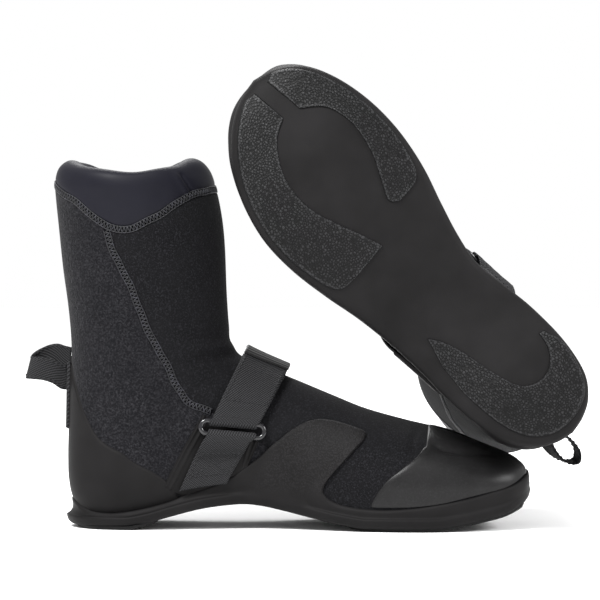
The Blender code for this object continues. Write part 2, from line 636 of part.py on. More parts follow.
def tread_pad(boot, name, outline):
    """Flat outline laid on the underside: cut into strips along x, so that it can follow the sole's curve."""
    points = closed_curve(np.array(outline, float), 2) * (BOOT_LENGTH / BASE_LENGTH, BALL_WIDTH / BASE_WIDTH)
    shape = bmesh.new()
    shape.faces.new([shape.verts.new((x, y, 0)) for x, y in points])
    for x in np.arange(math.ceil(points[:, 0].min() / 9) * 9, points[:, 0].max(), 9):
        everything = shape.verts[:] + shape.edges[:] + shape.faces[:]
        bmesh.ops.bisect_plane(shape, geom=everything, plane_co=(x, 0, 0), plane_no=(1, 0, 0), dist=1e-4)
    bmesh.ops.triangulate(shape, faces=shape.faces)
    shape.verts.index_update()
    spots = np.array([vertex.co for vertex in shape.verts])
    spots[:, 2] = underside(spots[:, 0])
    shape.normal_update()
    down = shape.faces[:][0].normal.z < 0
    faces = [[vertex.index for vertex in face.verts][::1 if down else -1] for face in shape.faces]
    shape.free()
    made = boot.put(name, spots, faces, "tread_rubber")
    return boot.thicken(made, TREAD - TREAD_GAP, -1)


# ---- what is laid on the sock ----

def ruled(top, bottom, rows, columns):
    """Sections and angles of a sheet between two side-view lines."""
    shares = np.linspace(0, 1, columns)
    ends = [smooth(np.array([place(x, z) for x, z in edge]), shares * (len(edge) - 1)) for edge in (bottom, top)]
    rise = np.linspace(0, 1, rows)[:, None, None]
    grid = ends[0] + rise * (ends[1] - ends[0])
    return grid[..., 0], grid[..., 1]


def laid(boot, name, sections, angles, thickness, material, glue=LAYER_LIFT):
    lift = np.full(angles.shape, glue)
    return boot.sheet(name, lifted(sections, angles, lift), thickness, 1, material)


def heel_overlay(boot):
    reach = HEEL_TOP[-1][0]
    foot = [(x, foxing_height(x * BOOT_LENGTH / BASE_LENGTH, True) * BASE_HEIGHT / BOOT_HEIGHT + 2.8)
            for x in np.linspace(2.4, reach - 2, 12)]
    sections, angles = ruled(HEEL_TOP, foot, 7, 12)
    angles[:, 0] = math.pi
    outer = (sections[:, ::-1], angles[:, ::-1])
    inner = (sections[:, 1:], 2 * math.pi - angles[:, 1:])
    sections, angles = (np.hstack(pair) for pair in zip(outer, inner))
    return laid(boot, "heel_overlay", sections[::-1], angles[::-1][:, ::-1], OVERLAY, "rubber")


def toe_cap(boot):
    foot = np.array([place(x, z + 1.8) for x, z in FOXING_OUTER if 185 < x < 288])
    foot = smooth(foot, np.linspace(0, len(foot) - 1, 60))
    rear = np.array([place(x, z)[::-1] for x, z in TOE_REAR] + [(0.0, 5.45)])
    rear = smooth(rear, np.linspace(0, len(rear) - 1, 60))
    first = 1.5
    columns = []
    for share in np.linspace(-1, 1, 19):
        last = 6.0
        for _ in range(8):
            last = float(lookup(rear, abs(share) * lookup(foot, last)))
        sections = np.linspace(first, last, 9)
        columns.append((sections, share * lookup(foot, sections)))
    columns = np.array(columns)
    # a wider toe bends further under the sheet's facets
    glue = LAYER_LIFT * max(1, BALL_WIDTH / BASE_WIDTH) ** 2
    return laid(boot, "toe_cap", columns[:, 0].T, columns[:, 1].T, OVERLAY, "toe_rubber", glue)


def anchor_base(boot):
    sections, angles = ruled(ANCHOR_TOP, ANCHOR_BOTTOM, 7, 7)
    return laid(boot, "anchor_base", sections, -angles, OVERLAY, "rubber")


def cuff_stitching(boot):
    angles = np.linspace(-math.pi, math.pi, 29)
    seam = cuff_seam(angles)
    by_section, _ = rates(seam, angles)
    half = STITCH_WIDTH / 2 / np.linalg.norm(by_section, axis=-1)
    sections = np.array([seam - half, seam + half])
    rows = lifted(sections, np.broadcast_to(angles, sections.shape), np.full(sections.shape, STITCH_LIFT))
    return boot.sheet("cuff_seam_stitching", rows, STITCH_THICKNESS, 1, "thread")


def side_stitching(boot, name, sign):
    sections = np.linspace(13.0, 21.75, 14)
    seam = side_seam(sections)
    _, by_angle = rates(sections, seam)
    half = STITCH_WIDTH / 2 / np.linalg.norm(by_angle, axis=-1)
    angles = sign * np.array([seam - half, seam + half])
    order = slice(None) if sign > 0 else slice(None, None, -1)
    grid = np.broadcast_to(sections, angles.shape)
    rows = lifted(grid, angles, np.full(angles.shape, STITCH_LIFT))[order].transpose(1, 0, 2)
    return boot.sheet(name, rows, STITCH_THICKNESS, 1, "thread")


# ---- strap, ring and loops ----

FLAP_END = 4.0            # past the ridge of the instep
BAR_UP = RING_DISTANCE + RING_DEPTH / 2
STRAP_START = BAR_UP + 2.6 + 0.4 * (STRAP_WIDTH - BASE_STRAP)   # clear of the rubber under the anchor
PATCH_START = BAR_UP + 12.0
OUTER_Z, OUTER_ANCHOR_Z = 42.0, 31.0  # where the strap and its outer anchor end, on the base last


def outer_distance(z):
    points = surface(STRAP_SECTION, STRAP_ANGLES)
    low = (STRAP_ANGLES > 0.5) & (STRAP_ANGLES < 2.2)
    return float(np.interp(-z * BOOT_HEIGHT / BASE_HEIGHT, -points[low, 2], STRAP_STEPS[low]))


def strap_sheet(boot, name, first, last, lift, width, thickness, material, pivot=None):
    steps = max(3, round((last - first) / 6) + 1)
    rows = strap_rows(np.linspace(first, last, steps), width, np.full(steps, lift))
    return boot.sheet(name, rows, thickness, 1, material, pivot)


def strap_flap(boot, pivot):
    """The free half of the strap: a quarter turn over the ring's upper bar, then down onto its patches."""
    bar_top = ring_lift() + WRAP_RADIUS
    distances = np.linspace(BAR_UP + 3.5, FLAP_END, 9)
    settle = np.clip((distances - BAR_UP - 3.5) / (PATCH_START - BAR_UP - 4.5), 0, 1)
    lifts = bar_top + (FLAP_LIFT - bar_top) * settle ** 2 * (3 - 2 * settle)
    rows = np.concatenate([round_bar(1, 180, 95, 3, 5), strap_rows(distances, STRAP_WIDTH, lifts)])
    return boot.sheet("strap_flap", rows, STRAP, 1, "webbing", pivot)


def anchor_webbing(boot):
    """Sewn to its base, it rises to the ring's lower bar and turns in around it."""
    low_bar = RING_DISTANCE - RING_DEPTH / 2
    bar_top = ring_lift() + WRAP_RADIUS
    distances = np.array([-29.0, -22, -15, -9, -4]) + low_bar
    lifts = np.array([LAYER_LIFT + OVERLAY + STACK_GAP] * 3 + [0, bar_top - 0.4])
    lifts[3] = (lifts[2] + lifts[4]) / 2 + 0.4
    rows = np.concatenate([strap_rows(distances, STRAP_WIDTH, lifts), round_bar(-1, 95, -60, 3, 7)])
    return boot.sheet("anchor_webbing", rows, STRAP, 1, "webbing")


def ring(boot, pivot):
    """One wire bent to a long loop, as a curve with round ends."""
    half = STRAP_WIDTH / 2 + RING_PLAY
    spots = []
    for end in (1, -1):
        for turn in np.radians(np.linspace(90, -90, 8)):
            along, up = end * (half + RING_DEPTH / 2 * math.cos(turn)), end * RING_DEPTH / 2 * math.sin(turn)
            spots.append(RING_AT + RING_BARS * along + RING_UP * up)
    curve = bpy.data.curves.new(f"{boot.side}_ring", "CURVE")
    curve.dimensions, curve.bevel_depth, curve.bevel_resolution = "3D", RING_WIRE / 2 * MM, 2
    spline = curve.splines.new("POLY")
    spline.points.add(len(spots) - 1)
    spline.use_cyclic_u = True
    for point, spot in zip(spline.points, spots):
        point.co = (*(boot.point(spot) - pivot.location), 1)
    curve.materials.append(FINISHES["ring_plastic"])
    made = bpy.data.objects.new(f"{boot.side}_ring", curve)
    PARTS.objects.link(made)
    made.parent = pivot
    return made


def pull_loop(boot, pivot):
    """Webbing folded behind the heel: two strands that start beside each other and meet at the fold."""
    x, z = grade(((ANKLE_AXIS[0], 0, ANKLE_AXIS[1]),))[0, [0, 2]]
    side, start = LOOP_SPREAD / 2, x - LAYER_LIFT - OVERLAY - 1.8
    route = smooth(((start, -side + 2, z - 4), (start - 5, -side + 0.5, z - 0.5), (start - 11, -side, z + 1.5),
                    (start - 17.5, -side + 1.5, z + 2), (start - LOOP_REACH + 1.6, 0, z + 2.5),
                    (start - 17.5, side - 1.5, z + 6), (start - 11, side, z + 9), (start - 5, side - 0.5, z + 10),
                    (start, side - 2, z + 9)), np.linspace(0, 8, 23))
    lean = smooth(((0.15, 0, 1), (0.25, 0, 0.97), (0.05, 0.5, 0.86)), np.linspace(0, 2, 23))
    lean /= np.linalg.norm(lean, axis=1, keepdims=True)
    rows = np.stack([route - lean * LOOP_WIDTH / 2, route + lean * LOOP_WIDTH / 2], axis=1)
    return boot.sheet("pull_loop", rows, LOOP_WEB, 0, "webbing", pivot)


def loop_patch(boot):
    """The sewn-down end of the pull loop, on the heel overlay."""
    sections = np.linspace(17.85, 18.35, 3)[:, None]
    angles = math.pi + np.linspace(0.2, -0.2, 5)
    grid = np.broadcast_to(sections, (3, 5))
    rows = lifted(grid, np.broadcast_to(angles, grid.shape), np.full(grid.shape, LAYER_LIFT + OVERLAY + STACK_GAP))
    return boot.sheet("pull_loop_patch", rows[:, ::-1], LOOP_WEB, 1, "webbing")


# ---- the boot ----

def build(boot):
    front_panel(boot)
    rear_panel(boot)
    cuff(boot)
    sock_bottom(boot)
    footbed(boot)
    toe_divider(boot)
    outsole(boot)
    for name, outline in (("tread_heel", HEEL_PAD), ("tread_toe_inner", INNER_PAD), ("tread_toe_outer", OUTER_PAD)):
        tread_pad(boot, name, outline)
    heel_overlay(boot)
    toe_cap(boot)
    anchor_base(boot)
    cuff_stitching(boot)
    side_stitching(boot, "seam_stitching_inner", -1)
    side_stitching(boot, "seam_stitching_outer", 1)
    strap_end = outer_distance(OUTER_Z)
    strap_sheet(boot, "strap", STRAP_START, strap_end, STRAP_LIFT, STRAP_WIDTH, STRAP, "webbing")
    strap_sheet(boot, "strap_anchor_outer", strap_end + 0.6, outer_distance(OUTER_ANCHOR_Z), STRAP_LIFT,
                STRAP_WIDTH + 4 - (STRAP_WIDTH - BASE_STRAP) / 2, OVERLAY + STRAP, "rubber")
    strap_sheet(boot, "loop_patch", PATCH_START, FLAP_END, LOOP_PATCH_LIFT, STRAP_WIDTH - 4, FASTENER,
                "hook_and_loop")
    anchor_webbing(boot)
    loop_patch(boot)
    ring_pivot = boot.pivot("ring_pivot", RING_AT - RING_UP * RING_DEPTH / 2)
    ring(boot, ring_pivot)
    flap_pivot = boot.pivot("flap_pivot", RING_AT + RING_UP * RING_DEPTH / 2)
    strap_flap(boot, flap_pivot)
    strap_sheet(boot, "hook_patch", PATCH_START, FLAP_END - 2, HOOK_PATCH_LIFT, STRAP_WIDTH - 6, FASTENER,
                "hook_and_loop", flap_pivot)
    strap_sheet(boot, "pull_tab", FLAP_END - PULL_TAB_LENGTH, FLAP_END, FLAP_LIFT + STRAP + STACK_GAP,
                STRAP_WIDTH + 1, 1.6, "toe_rubber", flap_pivot)
    x, z = ANKLE_AXIS
    pull_loop(boot, boot.pivot("loop_pivot", grade(((x - 2.5, 0, z),))[0]))


def frame(name, matrix):
    empty = bpy.data.objects.new(name, None)
    PARTS.objects.link(empty)
    empty.matrix_world = matrix
    return empty


def lean():
    """Pose of the right boot: sole towards -y, toe up, its heel at LEAN_HEEL."""
    pitch, roll = math.radians(LEAN_PITCH), math.radians(LEAN_ROLL)
    along = Vector((-math.cos(pitch), 0, math.sin(pitch)))
    inner = Vector((math.sin(pitch), 0, math.cos(pitch)))
    upward = Vector((0, 1, 0))
    inner, upward = (inner * math.cos(roll) + upward * math.sin(roll), upward * math.cos(roll) - inner * math.sin(roll))
    turn = Matrix((along, inner, upward)).transposed().to_4x4()
    heel = Vector((HEEL_AXIS[0] * BOOT_LENGTH / BASE_LENGTH * MM, 0, 0))
    length, width, height = BOOT_LENGTH / BASE_LENGTH, BALL_WIDTH / BASE_WIDTH, BOOT_HEIGHT / BASE_HEIGHT
    place_at = Vector(np.array(LEAN_HEEL) * (length, max(1, width), max(length, width, height)) * MM)
    return Matrix.Translation(place_at) @ turn @ Matrix.Translation(-heel)


standing = frame("left_boot_frame", Matrix.Identity(4))
leaning = frame("right_boot_frame", lean())
build(Boot("left", standing, 1))
build(Boot("right", leaning, -1))

# The origin is under the middle of the pair.
bpy.context.view_layer.update()
graph = bpy.context.evaluated_depsgraph_get()
corners = []
for piece in PARTS.objects:
    if piece.type != "EMPTY":
        solid = piece.evaluated_get(graph)
        corners += [solid.matrix_world @ vertex.co for vertex in solid.to_mesh().vertices]
        solid.to_mesh_clear()
lowest, highest = (np.array(pick(np.array(corners), axis=0)) for pick in (np.min, np.max))
shift = Vector((*(-(lowest + highest)[:2] / 2), -lowest[2]))
for each in (standing, leaning):
    each.matrix_world = Matrix.Translation(shift) @ each.matrix_world
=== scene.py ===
# Looks of a pair of neoprene surf boots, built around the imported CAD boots.
# Each boot is worked out in its own frame in millimetres (x heel to toe, z up, outer side of the left boot at +y),
# then put where the CAD's joints say that boot is.
import json
import math

import bmesh
import bpy
import numpy as np
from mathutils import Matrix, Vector
from mathutils.bvhtree import BVHTree


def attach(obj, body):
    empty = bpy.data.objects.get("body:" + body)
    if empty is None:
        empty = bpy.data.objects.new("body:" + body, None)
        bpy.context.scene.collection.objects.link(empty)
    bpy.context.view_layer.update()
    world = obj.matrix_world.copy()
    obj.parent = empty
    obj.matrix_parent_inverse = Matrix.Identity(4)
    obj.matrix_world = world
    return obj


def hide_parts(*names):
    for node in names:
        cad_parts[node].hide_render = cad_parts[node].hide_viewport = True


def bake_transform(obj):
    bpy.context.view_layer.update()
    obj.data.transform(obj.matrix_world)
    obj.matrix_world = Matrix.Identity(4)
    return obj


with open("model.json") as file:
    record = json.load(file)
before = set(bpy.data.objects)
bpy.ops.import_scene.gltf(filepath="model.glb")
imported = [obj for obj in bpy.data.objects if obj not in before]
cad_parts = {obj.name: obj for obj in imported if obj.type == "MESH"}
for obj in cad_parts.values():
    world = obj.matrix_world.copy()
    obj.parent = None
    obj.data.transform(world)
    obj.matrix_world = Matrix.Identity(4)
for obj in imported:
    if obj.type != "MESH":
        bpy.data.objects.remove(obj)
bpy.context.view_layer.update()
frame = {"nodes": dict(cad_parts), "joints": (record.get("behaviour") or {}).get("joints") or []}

mm = 0.001   # metres in a millimetre

# Sections of the last, from the toe's tip to the collar's rim: front x z, back x z, half width, its centre in y,
# height of the widest line as a share, roundness power below and above that line, dip of the section's sides.
lastSections = np.array((
    (289.0, 27.0, 289.0, 27.0, 0.0, -12.5, 0.50, 2.0, 2.0, 0),
    (288.0, 36.0, 286.5, 19.5, 14.0, -12.2, 0.50, 2.3, 2.0, 0),
    (284.5, 41.0, 281.0, 16.0, 23.5, -10.5, 0.45, 3.0, 2.0, 0),
    (277.0, 45.5, 272.5, 13.0, 32.0, -8.8, 0.42, 4.0, 2.0, 0),
    (263.0, 51.0, 259.0, 9.9, 40.5, -6.3, 0.40, 5.0, 2.0, 0),
    (240.0, 60.0, 238.0, 6.4, 47.5, -3.2, 0.36, 6.0, 2.0, 0),
    (213.0, 66.5, 210.0, 5.0, 50.8, -0.7, 0.34, 6.0, 2.0, 0),
    (188.0, 73.5, 185.0, 5.2, 48.5, 0.8, 0.34, 6.0, 2.0, 0),
    (168.0, 81.5, 160.0, 10.6, 43.5, 2.0, 0.34, 6.0, 2.0, 0),
    (150.0, 89.0, 134.0, 16.0, 38.5, 2.6, 0.36, 5.5, 2.0, 0),
    (136.0, 94.8, 108.0, 19.0, 35.8, 2.4, 0.40, 5.0, 1.95, 0),
    (124.0, 100.0, 80.0, 15.0, 35.2, 1.0, 0.42, 5.0, 1.95, 0),
    (114.5, 104.5, 54.0, 8.6, 35.4, -0.4, 0.44, 5.0, 1.95, 0),
    (108.0, 108.2, 30.0, 5.0, 35.2, -1.2, 0.46, 4.5, 1.95, 0),
    (104.8, 111.5, 14.0, 8.0, 35.0, -1.5, 0.48, 3.8, 2.0, 0),
    (103.2, 115.5, 5.8, 17.0, 35.2, -1.5, 0.50, 3.0, 2.0, 0),
    (102.6, 120.5, 2.6, 29.0, 35.5, -1.4, 0.50, 2.5, 2.0, 0),
    (102.2, 127.0, 2.0, 44.0, 36.0, -1.2, 0.50, 2.3, 2.0, 0),
    (101.8, 136.0, 2.4, 64.0, 36.3, -1.0, 0.50, 2.2, 2.0, 0),
    (101.2, 148.0, 2.8, 88.0, 36.8, -0.8, 0.50, 2.1, 2.0, 0),
    (100.5, 161.0, 3.2, 112.0, 37.2, -0.6, 0.50, 2.1, 2.0, 0),
    (99.6, 175.0, 1.2, 138.0, 37.6, -0.4, 0.50, 2.0, 2.0, 0),
    (98.2, 190.0, -2.2, 163.0, 38.0, -0.2, 0.50, 2.0, 2.0, 0),
    (96.0, 204.0, -5.0, 187.0, 38.4, 0.0, 0.50, 2.0, 2.0, 0.5),
    (93.2, 215.5, -6.6, 205.0, 38.6, 0.0, 0.50, 2.0, 2.0, 2.0),
    (90.0, 223.0, -6.8, 216.5, 38.4, 0.0, 0.50, 2.0, 2.0, 4.5),
    (85.5, 228.5, -4.4, 224.5, 36.8, 0.0, 0.50, 2.0, 2.0, 6.5),
    (79.5, 231.0, 1.5, 229.0, 33.8, 0.0, 0.50, 2.0, 2.0, 8.0),
    (74.0, 229.5, 7.5, 228.5, 30.5, 0.0, 0.50, 2.0, 2.0, 8.0),
    (71.0, 225.0, 11.0, 225.0, 28.0, 0.0, 0.50, 2.0, 2.0, 8.0),
))
collarRim = len(lastSections) - 1

# Lines of the side view, x and z.
sideSeamPoints = ((25.5, 190), (31, 173.8), (42.8, 149), (53.4, 122.5), (67.5, 96.3), (86.3, 75), (104, 64),
                  (122.5, 54), (134, 43), (144, 30), (149, 21))
cuffSeamPoints = ((-6.6, 214.4), (6, 205), (22, 192.5), (38.8, 186.3), (58, 195), (76, 206.5), (88, 210.6),
                  (94, 211.5))


def splineRows(rows, at):
    # Catmull-Rom curve through the rows, read at fractional row numbers
    rows = np.asarray(rows, float)
    ends = np.vstack([2 * rows[0] - rows[1], rows, 2 * rows[-1] - rows[-2]])
    at = np.clip(np.asarray(at, float), 0, len(rows) - 1)
    first = np.minimum(at.astype(int), len(rows) - 2)
    t = (at - first)[..., None]
    a, b, c, d = (ends[first + k] for k in range(4))
    return b + t / 2 * (c - a + t * (2 * a - 5 * b + 4 * c - d + t * (3 * (b - c) + d - a)))


def lengthsAlong(points):
    # distance walked to each point of a path
    steps = np.linalg.norm(np.diff(points, axis=0), axis=1)
    return np.concatenate([[0], np.cumsum(steps)])


def readColumns(at, known, table):
    # each column of a table, known at these numbers, read at others
    return np.stack([np.interp(at, known, column) for column in np.asarray(table).T], axis=-1)


def even(points, count):
    # the same path with this many points, all equally far apart
    walked = lengthsAlong(points)
    return readColumns(np.linspace(0, walked[-1], count), walked, points)


def ease(t):
    # from 0 up to 1, level at both ends
    t = np.clip(t, 0, 1)
    return t * t * (3 - 2 * t)


def bell(distance, width):
    # 1 in the middle, falling to 0 over about two widths
    return np.exp(-(distance / width) ** 2)


def unit(vectors):
    return vectors / np.maximum(np.linalg.norm(vectors, axis=-1, keepdims=True), 1e-12)


def sectionOutline(angle, widest, low, high):
    # Superellipse: reach = (|cos a|^p + |sin a|^p)^(-1/p), with its own power p above and below the widest line.
    # The share of the way from the back point to the front one is widest + reach cos a, scaled to end at 0 and 1,
    # and the way out in half widths is reach sin a.
    up, side = np.cos(angle), np.sin(angle)
    power = np.where(up > 0, high, low)
    reach = (np.abs(up) ** power + np.abs(side) ** power) ** (-1 / power)
    return widest + np.where(up > 0, 1 - widest, widest) * reach * up, reach * side


def lastPoint(section, angle):
    # Point on the last: back + share (front - back) in the side view, centre + out x half width across it.
    # Angle 0 is the front line, pi the back line, and positive angles are on the outer side.
    section, angle = np.broadcast_arrays(np.asarray(section, float), np.asarray(angle, float))
    row = splineRows(lastSections, section)
    front, back = row[..., 0:2], row[..., 2:4]
    width, centre, widest, low, high, dip = np.moveaxis(row[..., 4:], -1, 0)
    share, out = sectionOutline(angle, widest, low, high)
    spot = back + share[..., None] * (front - back)
    return np.stack([spot[..., 0], centre + np.maximum(width, 0) * out, spot[..., 1] - dip * np.sin(angle) ** 2],
                    axis=-1)


def lastRates(section, angle):
    # movement of the surface point for one section and for one radian
    section = np.clip(section, 0.12, collarRim - 0.02)
    bySection = (lastPoint(section + 0.01, angle) - lastPoint(section - 0.01, angle)) / 0.02
    byAngle = (lastPoint(section, angle + 0.01) - lastPoint(section, angle - 0.01)) / 0.02
    return bySection, byAngle


def lastNormal(section, angle):
    # outward, square to both movements
    bySection, byAngle = lastRates(section, angle)
    return unit(np.cross(byAngle, bySection))


foldHeights = {"toeCrease": -1.3, "overToeCrease": 0.9, "vampCrease": -0.8, "behindVampCrease": 0.5,
               "toeSplit": -1.1, "shaftWaves": 0.45, "ankleFolds": 0.7}


def folds(spots):
    # Height of the soft folds over the plain last: a bell of the distance from each crease's line, faded out at the
    # line's ends, and products of sines over the shaft and across the ankle.
    x, y, z = np.moveaxis(spots, -1, 0)
    inner = ease((-y - 4) / 10)
    toeLine = np.interp(x, (228, 234, 246, 266, 280), (52, 49.6, 47.6, 46, 43.5))
    toeCrease = inner * ease((x - 227) / 9) * ease((276 - x) / 12)
    height = toeCrease * (foldHeights["toeCrease"] * bell(z - toeLine, 1.5)
                          + foldHeights["overToeCrease"] * bell(z - toeLine - 5, 3.2))
    creaseX = 217 + 0.25 * (z - 54)
    vampCrease = inner * ease((z - 46) / 4) * ease((63 - z) / 4)
    height += vampCrease * (foldHeights["vampCrease"] * bell(x - creaseX, 1.6)
                            + foldHeights["behindVampCrease"] * bell(x - creaseX + 5, 3.5))
    split = ease((x - 222) / 25) * ease((z - 30) / 10)
    height += foldHeights["toeSplit"] * split * bell(y + 9.5, 2.6)
    waves = np.sin(z / 13 + 0.7 * np.sin(x / 17) + y / 30) * np.sin(x / 21 + 1 + z / 60)
    height += foldHeights["shaftWaves"] * ease((z - 95) / 30) * waves
    bend = bell(z - 112, 9) * ease((x - 60) / 30)
    height += foldHeights["ankleFolds"] * bend * np.sin((z - x * 0.25) / 2.6 + y / 18)
    return height


def skin(section, angle, lift=0.0):
    # point at this height over the folded sock
    spots = lastPoint(section, angle)
    return spots + lastNormal(section, angle) * (folds(spots) + lift)[..., None]


def sectionsEvenly(first, last, count):
    # sections that are equally far apart on the shin, the sides and the sole together
    at = np.linspace(first, last, 400)
    walked = sum(lengthsAlong(lastPoint(at, angle)) for angle in (0.0, 1.6, 3.1))
    return np.interp(np.linspace(0, walked[-1], count), walked, at)


def sidePlace(x, z):
    # section and angle, without sign, at which the last passes through a point of the side view
    at = np.linspace(0.02, collarRim - 3, 3000)
    row = splineRows(lastSections, at)
    span, off = row[:, 0:2] - row[:, 2:4], np.array((x, z)) - row[:, 2:4]
    turn = span[:, 0] * off[:, 1] - span[:, 1] * off[:, 0]
    share = (span * off).sum(1) / (span ** 2).sum(1)
    crossing = (turn[:-1] * turn[1:] <= 0) & (share[:-1] > -0.3) & (share[:-1] < 1.3)
    k = int(np.nonzero(crossing)[0][0])
    angles = np.linspace(0, math.pi, 721)
    heights, _ = sectionOutline(angles, *row[k, 6:9])
    return at[k], float(np.interp(share[k], heights[::-1], angles[::-1]))


def sideLine(points, steps=16):
    # side-view line as a dense list of (section, angle)
    found = np.array([sidePlace(x, z) for x, z in points])
    return splineRows(found, np.linspace(0, len(found) - 1, steps * len(found)))


def readLine(pairs, at):
    # second number of a list of pairs where the first is this
    order = np.argsort(pairs[:, 0])
    return np.interp(at, pairs[order, 0], pairs[order, 1])


sideSeamLine = sideLine(sideSeamPoints)
cuffSeamLine = sideLine(cuffSeamPoints)[:, ::-1]


def sideSeam(section):
    # angle of the side seam
    return readLine(sideSeamLine, section)


def cuffSeam(angle):
    # section of the cuff's lower seam, the same on both sides
    return readLine(cuffSeamLine, np.abs((np.asarray(angle) + math.pi) % (2 * math.pi) - math.pi))


def perRadian(section, angle):
    # millimetres to a radian, and below to a section
    return np.linalg.norm(lastRates(section, angle)[1], axis=-1)


def perSection(section, angle):
    return np.linalg.norm(lastRates(section, angle)[0], axis=-1)


def jointNamed(name):
    return next(joint for joint in frame["joints"] if joint["name"] == name)


ringSize = {"wire": 3.2, "depth": 8.0, "play": 0.8, "centre": (104.6, 61.9), "barPlay": 0.3}
strapSize = {"section": 11.0, "width": 30.0, "thickness": 1.2, "lift": 1.2, "gap": 0.4, "fastener": 0.7,
             "overlay": 1.2, "end": 4.0, "tab": 14.0}


def ringPlace():
    # centre of the ring and its directions: along its bars to the heel, up the strap, away from the boot
    section, angle = sidePlace(*ringSize["centre"])
    normal = lastNormal(section, -angle)
    bySection, _ = lastRates(section, -angle)
    bars = unit(bySection - normal * np.dot(bySection, normal))
    up = np.cross(bars, normal)
    up *= np.sign(up[2])
    lift = (strapSize["lift"] + strapSize["overlay"] + strapSize["gap"] + strapSize["thickness"]
            + ringSize["barPlay"] + ringSize["wire"] / 2)
    return lastPoint(section, -angle) + normal * lift, bars, up, normal, lift


ringAt, ringBars, ringUp, ringOut, ringLift = ringPlace()
loopHinge = np.array((-0.5, 0.0, 97.0))
loopBend = np.array(((-1.0, 0.0, 97.0), (-10.0, 0.0, 97.0)))   # the loop is sewn down before this, and free after it


def bootPlace(side):
    # Turn and shift that carry this boot's own frame to the world, fitted to its joints' points and axes.
    flip = 1 if side == "left" else -1
    own, world = [], []
    for joint, spot, axis in (("ring_swing", ringAt - ringUp * ringSize["depth"] / 2, -ringBars),
                              ("flap_peel", ringAt + ringUp * ringSize["depth"] / 2, -ringBars),
                              ("loop_flex", loopHinge, np.array((0.0, 0.0, 1.0)))):
        stated = jointNamed(f"{side}_{joint}")
        # a mirrored hinge turns the other way, so its axis is mirrored and turned round; the loop's stays upward
        twist = flip if joint != "loop_flex" else 1
        place, way = np.array(stated["pos_m"]) / mm, np.array(stated["axis"]) * twist
        own += [spot * (1, flip, 1), (spot + axis * 80) * (1, flip, 1)]
        world += [place, place + way / np.linalg.norm(way) * 80]
    own, world = np.array(own), np.array(world)
    left, _, right = np.linalg.svd((own - own.mean(0)).T @ (world - world.mean(0)))
    keep = np.diag((1, 1, np.sign(np.linalg.det(left @ right))))
    turn = (left @ keep @ right).T
    return {"side": side, "flip": flip, "turn": turn, "shift": world.mean(0) - turn @ own.mean(0),
            "miss": np.abs(own @ turn.T + world.mean(0) - turn @ own.mean(0) - world).max()}


def toWorld(boot, spots):
    # own millimetres to world metres
    spots = np.asarray(spots, float).reshape(-1, 3) * (1, boot["flip"], 1)
    return (spots @ boot["turn"].T + boot["shift"]) * mm


def gridFaces(rows, columns, wrapRows=False, wrapColumns=False):
    # the four-sided faces of a grid, row by row
    at = np.arange(rows * columns).reshape(rows, columns)
    if wrapRows:
        at = np.vstack([at, at[:1]])
    if wrapColumns:
        at = np.hstack([at, at[:, :1]])
    return np.stack([at[:-1, :-1], at[:-1, 1:], at[1:, 1:], at[1:, :-1]], axis=-1).reshape(-1, 4)


def slabFaces(rows, columns, wrapColumns=False):
    # faces of a wall between two grids of the same shape, its rims closed
    count = rows * columns
    outer = gridFaces(rows, columns, wrapColumns=wrapColumns)
    at = np.arange(count).reshape(rows, columns)
    if wrapColumns:
        at = np.hstack([at, at[:, :1]])
        rims = [at[0], at[-1][::-1]]
    else:
        rims = [at[0], at[:, -1], at[-1][::-1], at[:, 0][::-1]]
    sides = [np.stack([rim[1:], rim[:-1], rim[:-1] + count, rim[1:] + count], axis=-1) for rim in rims]
    return np.vstack([outer, outer[:, ::-1] + count, *sides])


def facingOut(points, faces):
    # a closed mesh turned so that its volume is positive
    a, b, c, d = (points[faces[:, k]] for k in range(4))
    volume = np.einsum("ij,ij->", a, np.cross(b, c)) + np.einsum("ij,ij->", a, np.cross(c, d))
    return faces if volume > 0 else faces[:, ::-1]


def addPiece(boot, name, spots, faces, finish, body, replaced=(), uv=None, marks=None, weld=False):
    # Mesh from arrays, placed in the world, with its finish, riding on its body and standing for its CAD nodes.
    points = toWorld(boot, spots)
    faces = facingOut(points, np.asarray(faces))
    mesh = bpy.data.meshes.new(f"{boot['side']}_{name}")
    mesh.vertices.add(len(points))
    mesh.vertices.foreach_set("co", points.ravel())
    mesh.loops.add(faces.size)
    mesh.loops.foreach_set("vertex_index", faces.ravel())
    mesh.polygons.add(len(faces))
    mesh.polygons.foreach_set("loop_start", np.arange(len(faces)) * 4)
    mesh.update(calc_edges=True)
    if uv is not None:
        layer = mesh.uv_layers.new(name="alongAcross")
        layer.data.foreach_set("uv", (np.asarray(uv).reshape(-1, 2) * mm)[faces.ravel()].ravel())
    for mark, values in (marks or {}).items():
        attribute = mesh.attributes.new(mark, "FLOAT", "POINT")
        attribute.data.foreach_set("value", np.asarray(values, np.float32).ravel())
    if weld:
        shape = bmesh.new()
        shape.from_mesh(mesh)
        bmesh.ops.remove_doubles(shape, verts=shape.verts, dist=2e-6)
        shape.to_mesh(mesh)
        shape.free()
    mesh.polygons.foreach_set("use_smooth", np.ones(len(mesh.polygons), bool))
    mesh.materials.append(finishes[finish]["material"])
    made = bpy.data.objects.new(f"{boot['side']}_{name}", mesh)
    bpy.context.scene.collection.objects.link(made)
    if replaced:
        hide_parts(*[f"{boot['side']}_{node}" for node in replaced])
    if body == "sewn_loop":   # baked in place, attached to no body
        start, end = toWorld(boot, loopBend)
        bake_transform(made)
    else:
        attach(made, f"{boot['side']}_{body}")
    return made


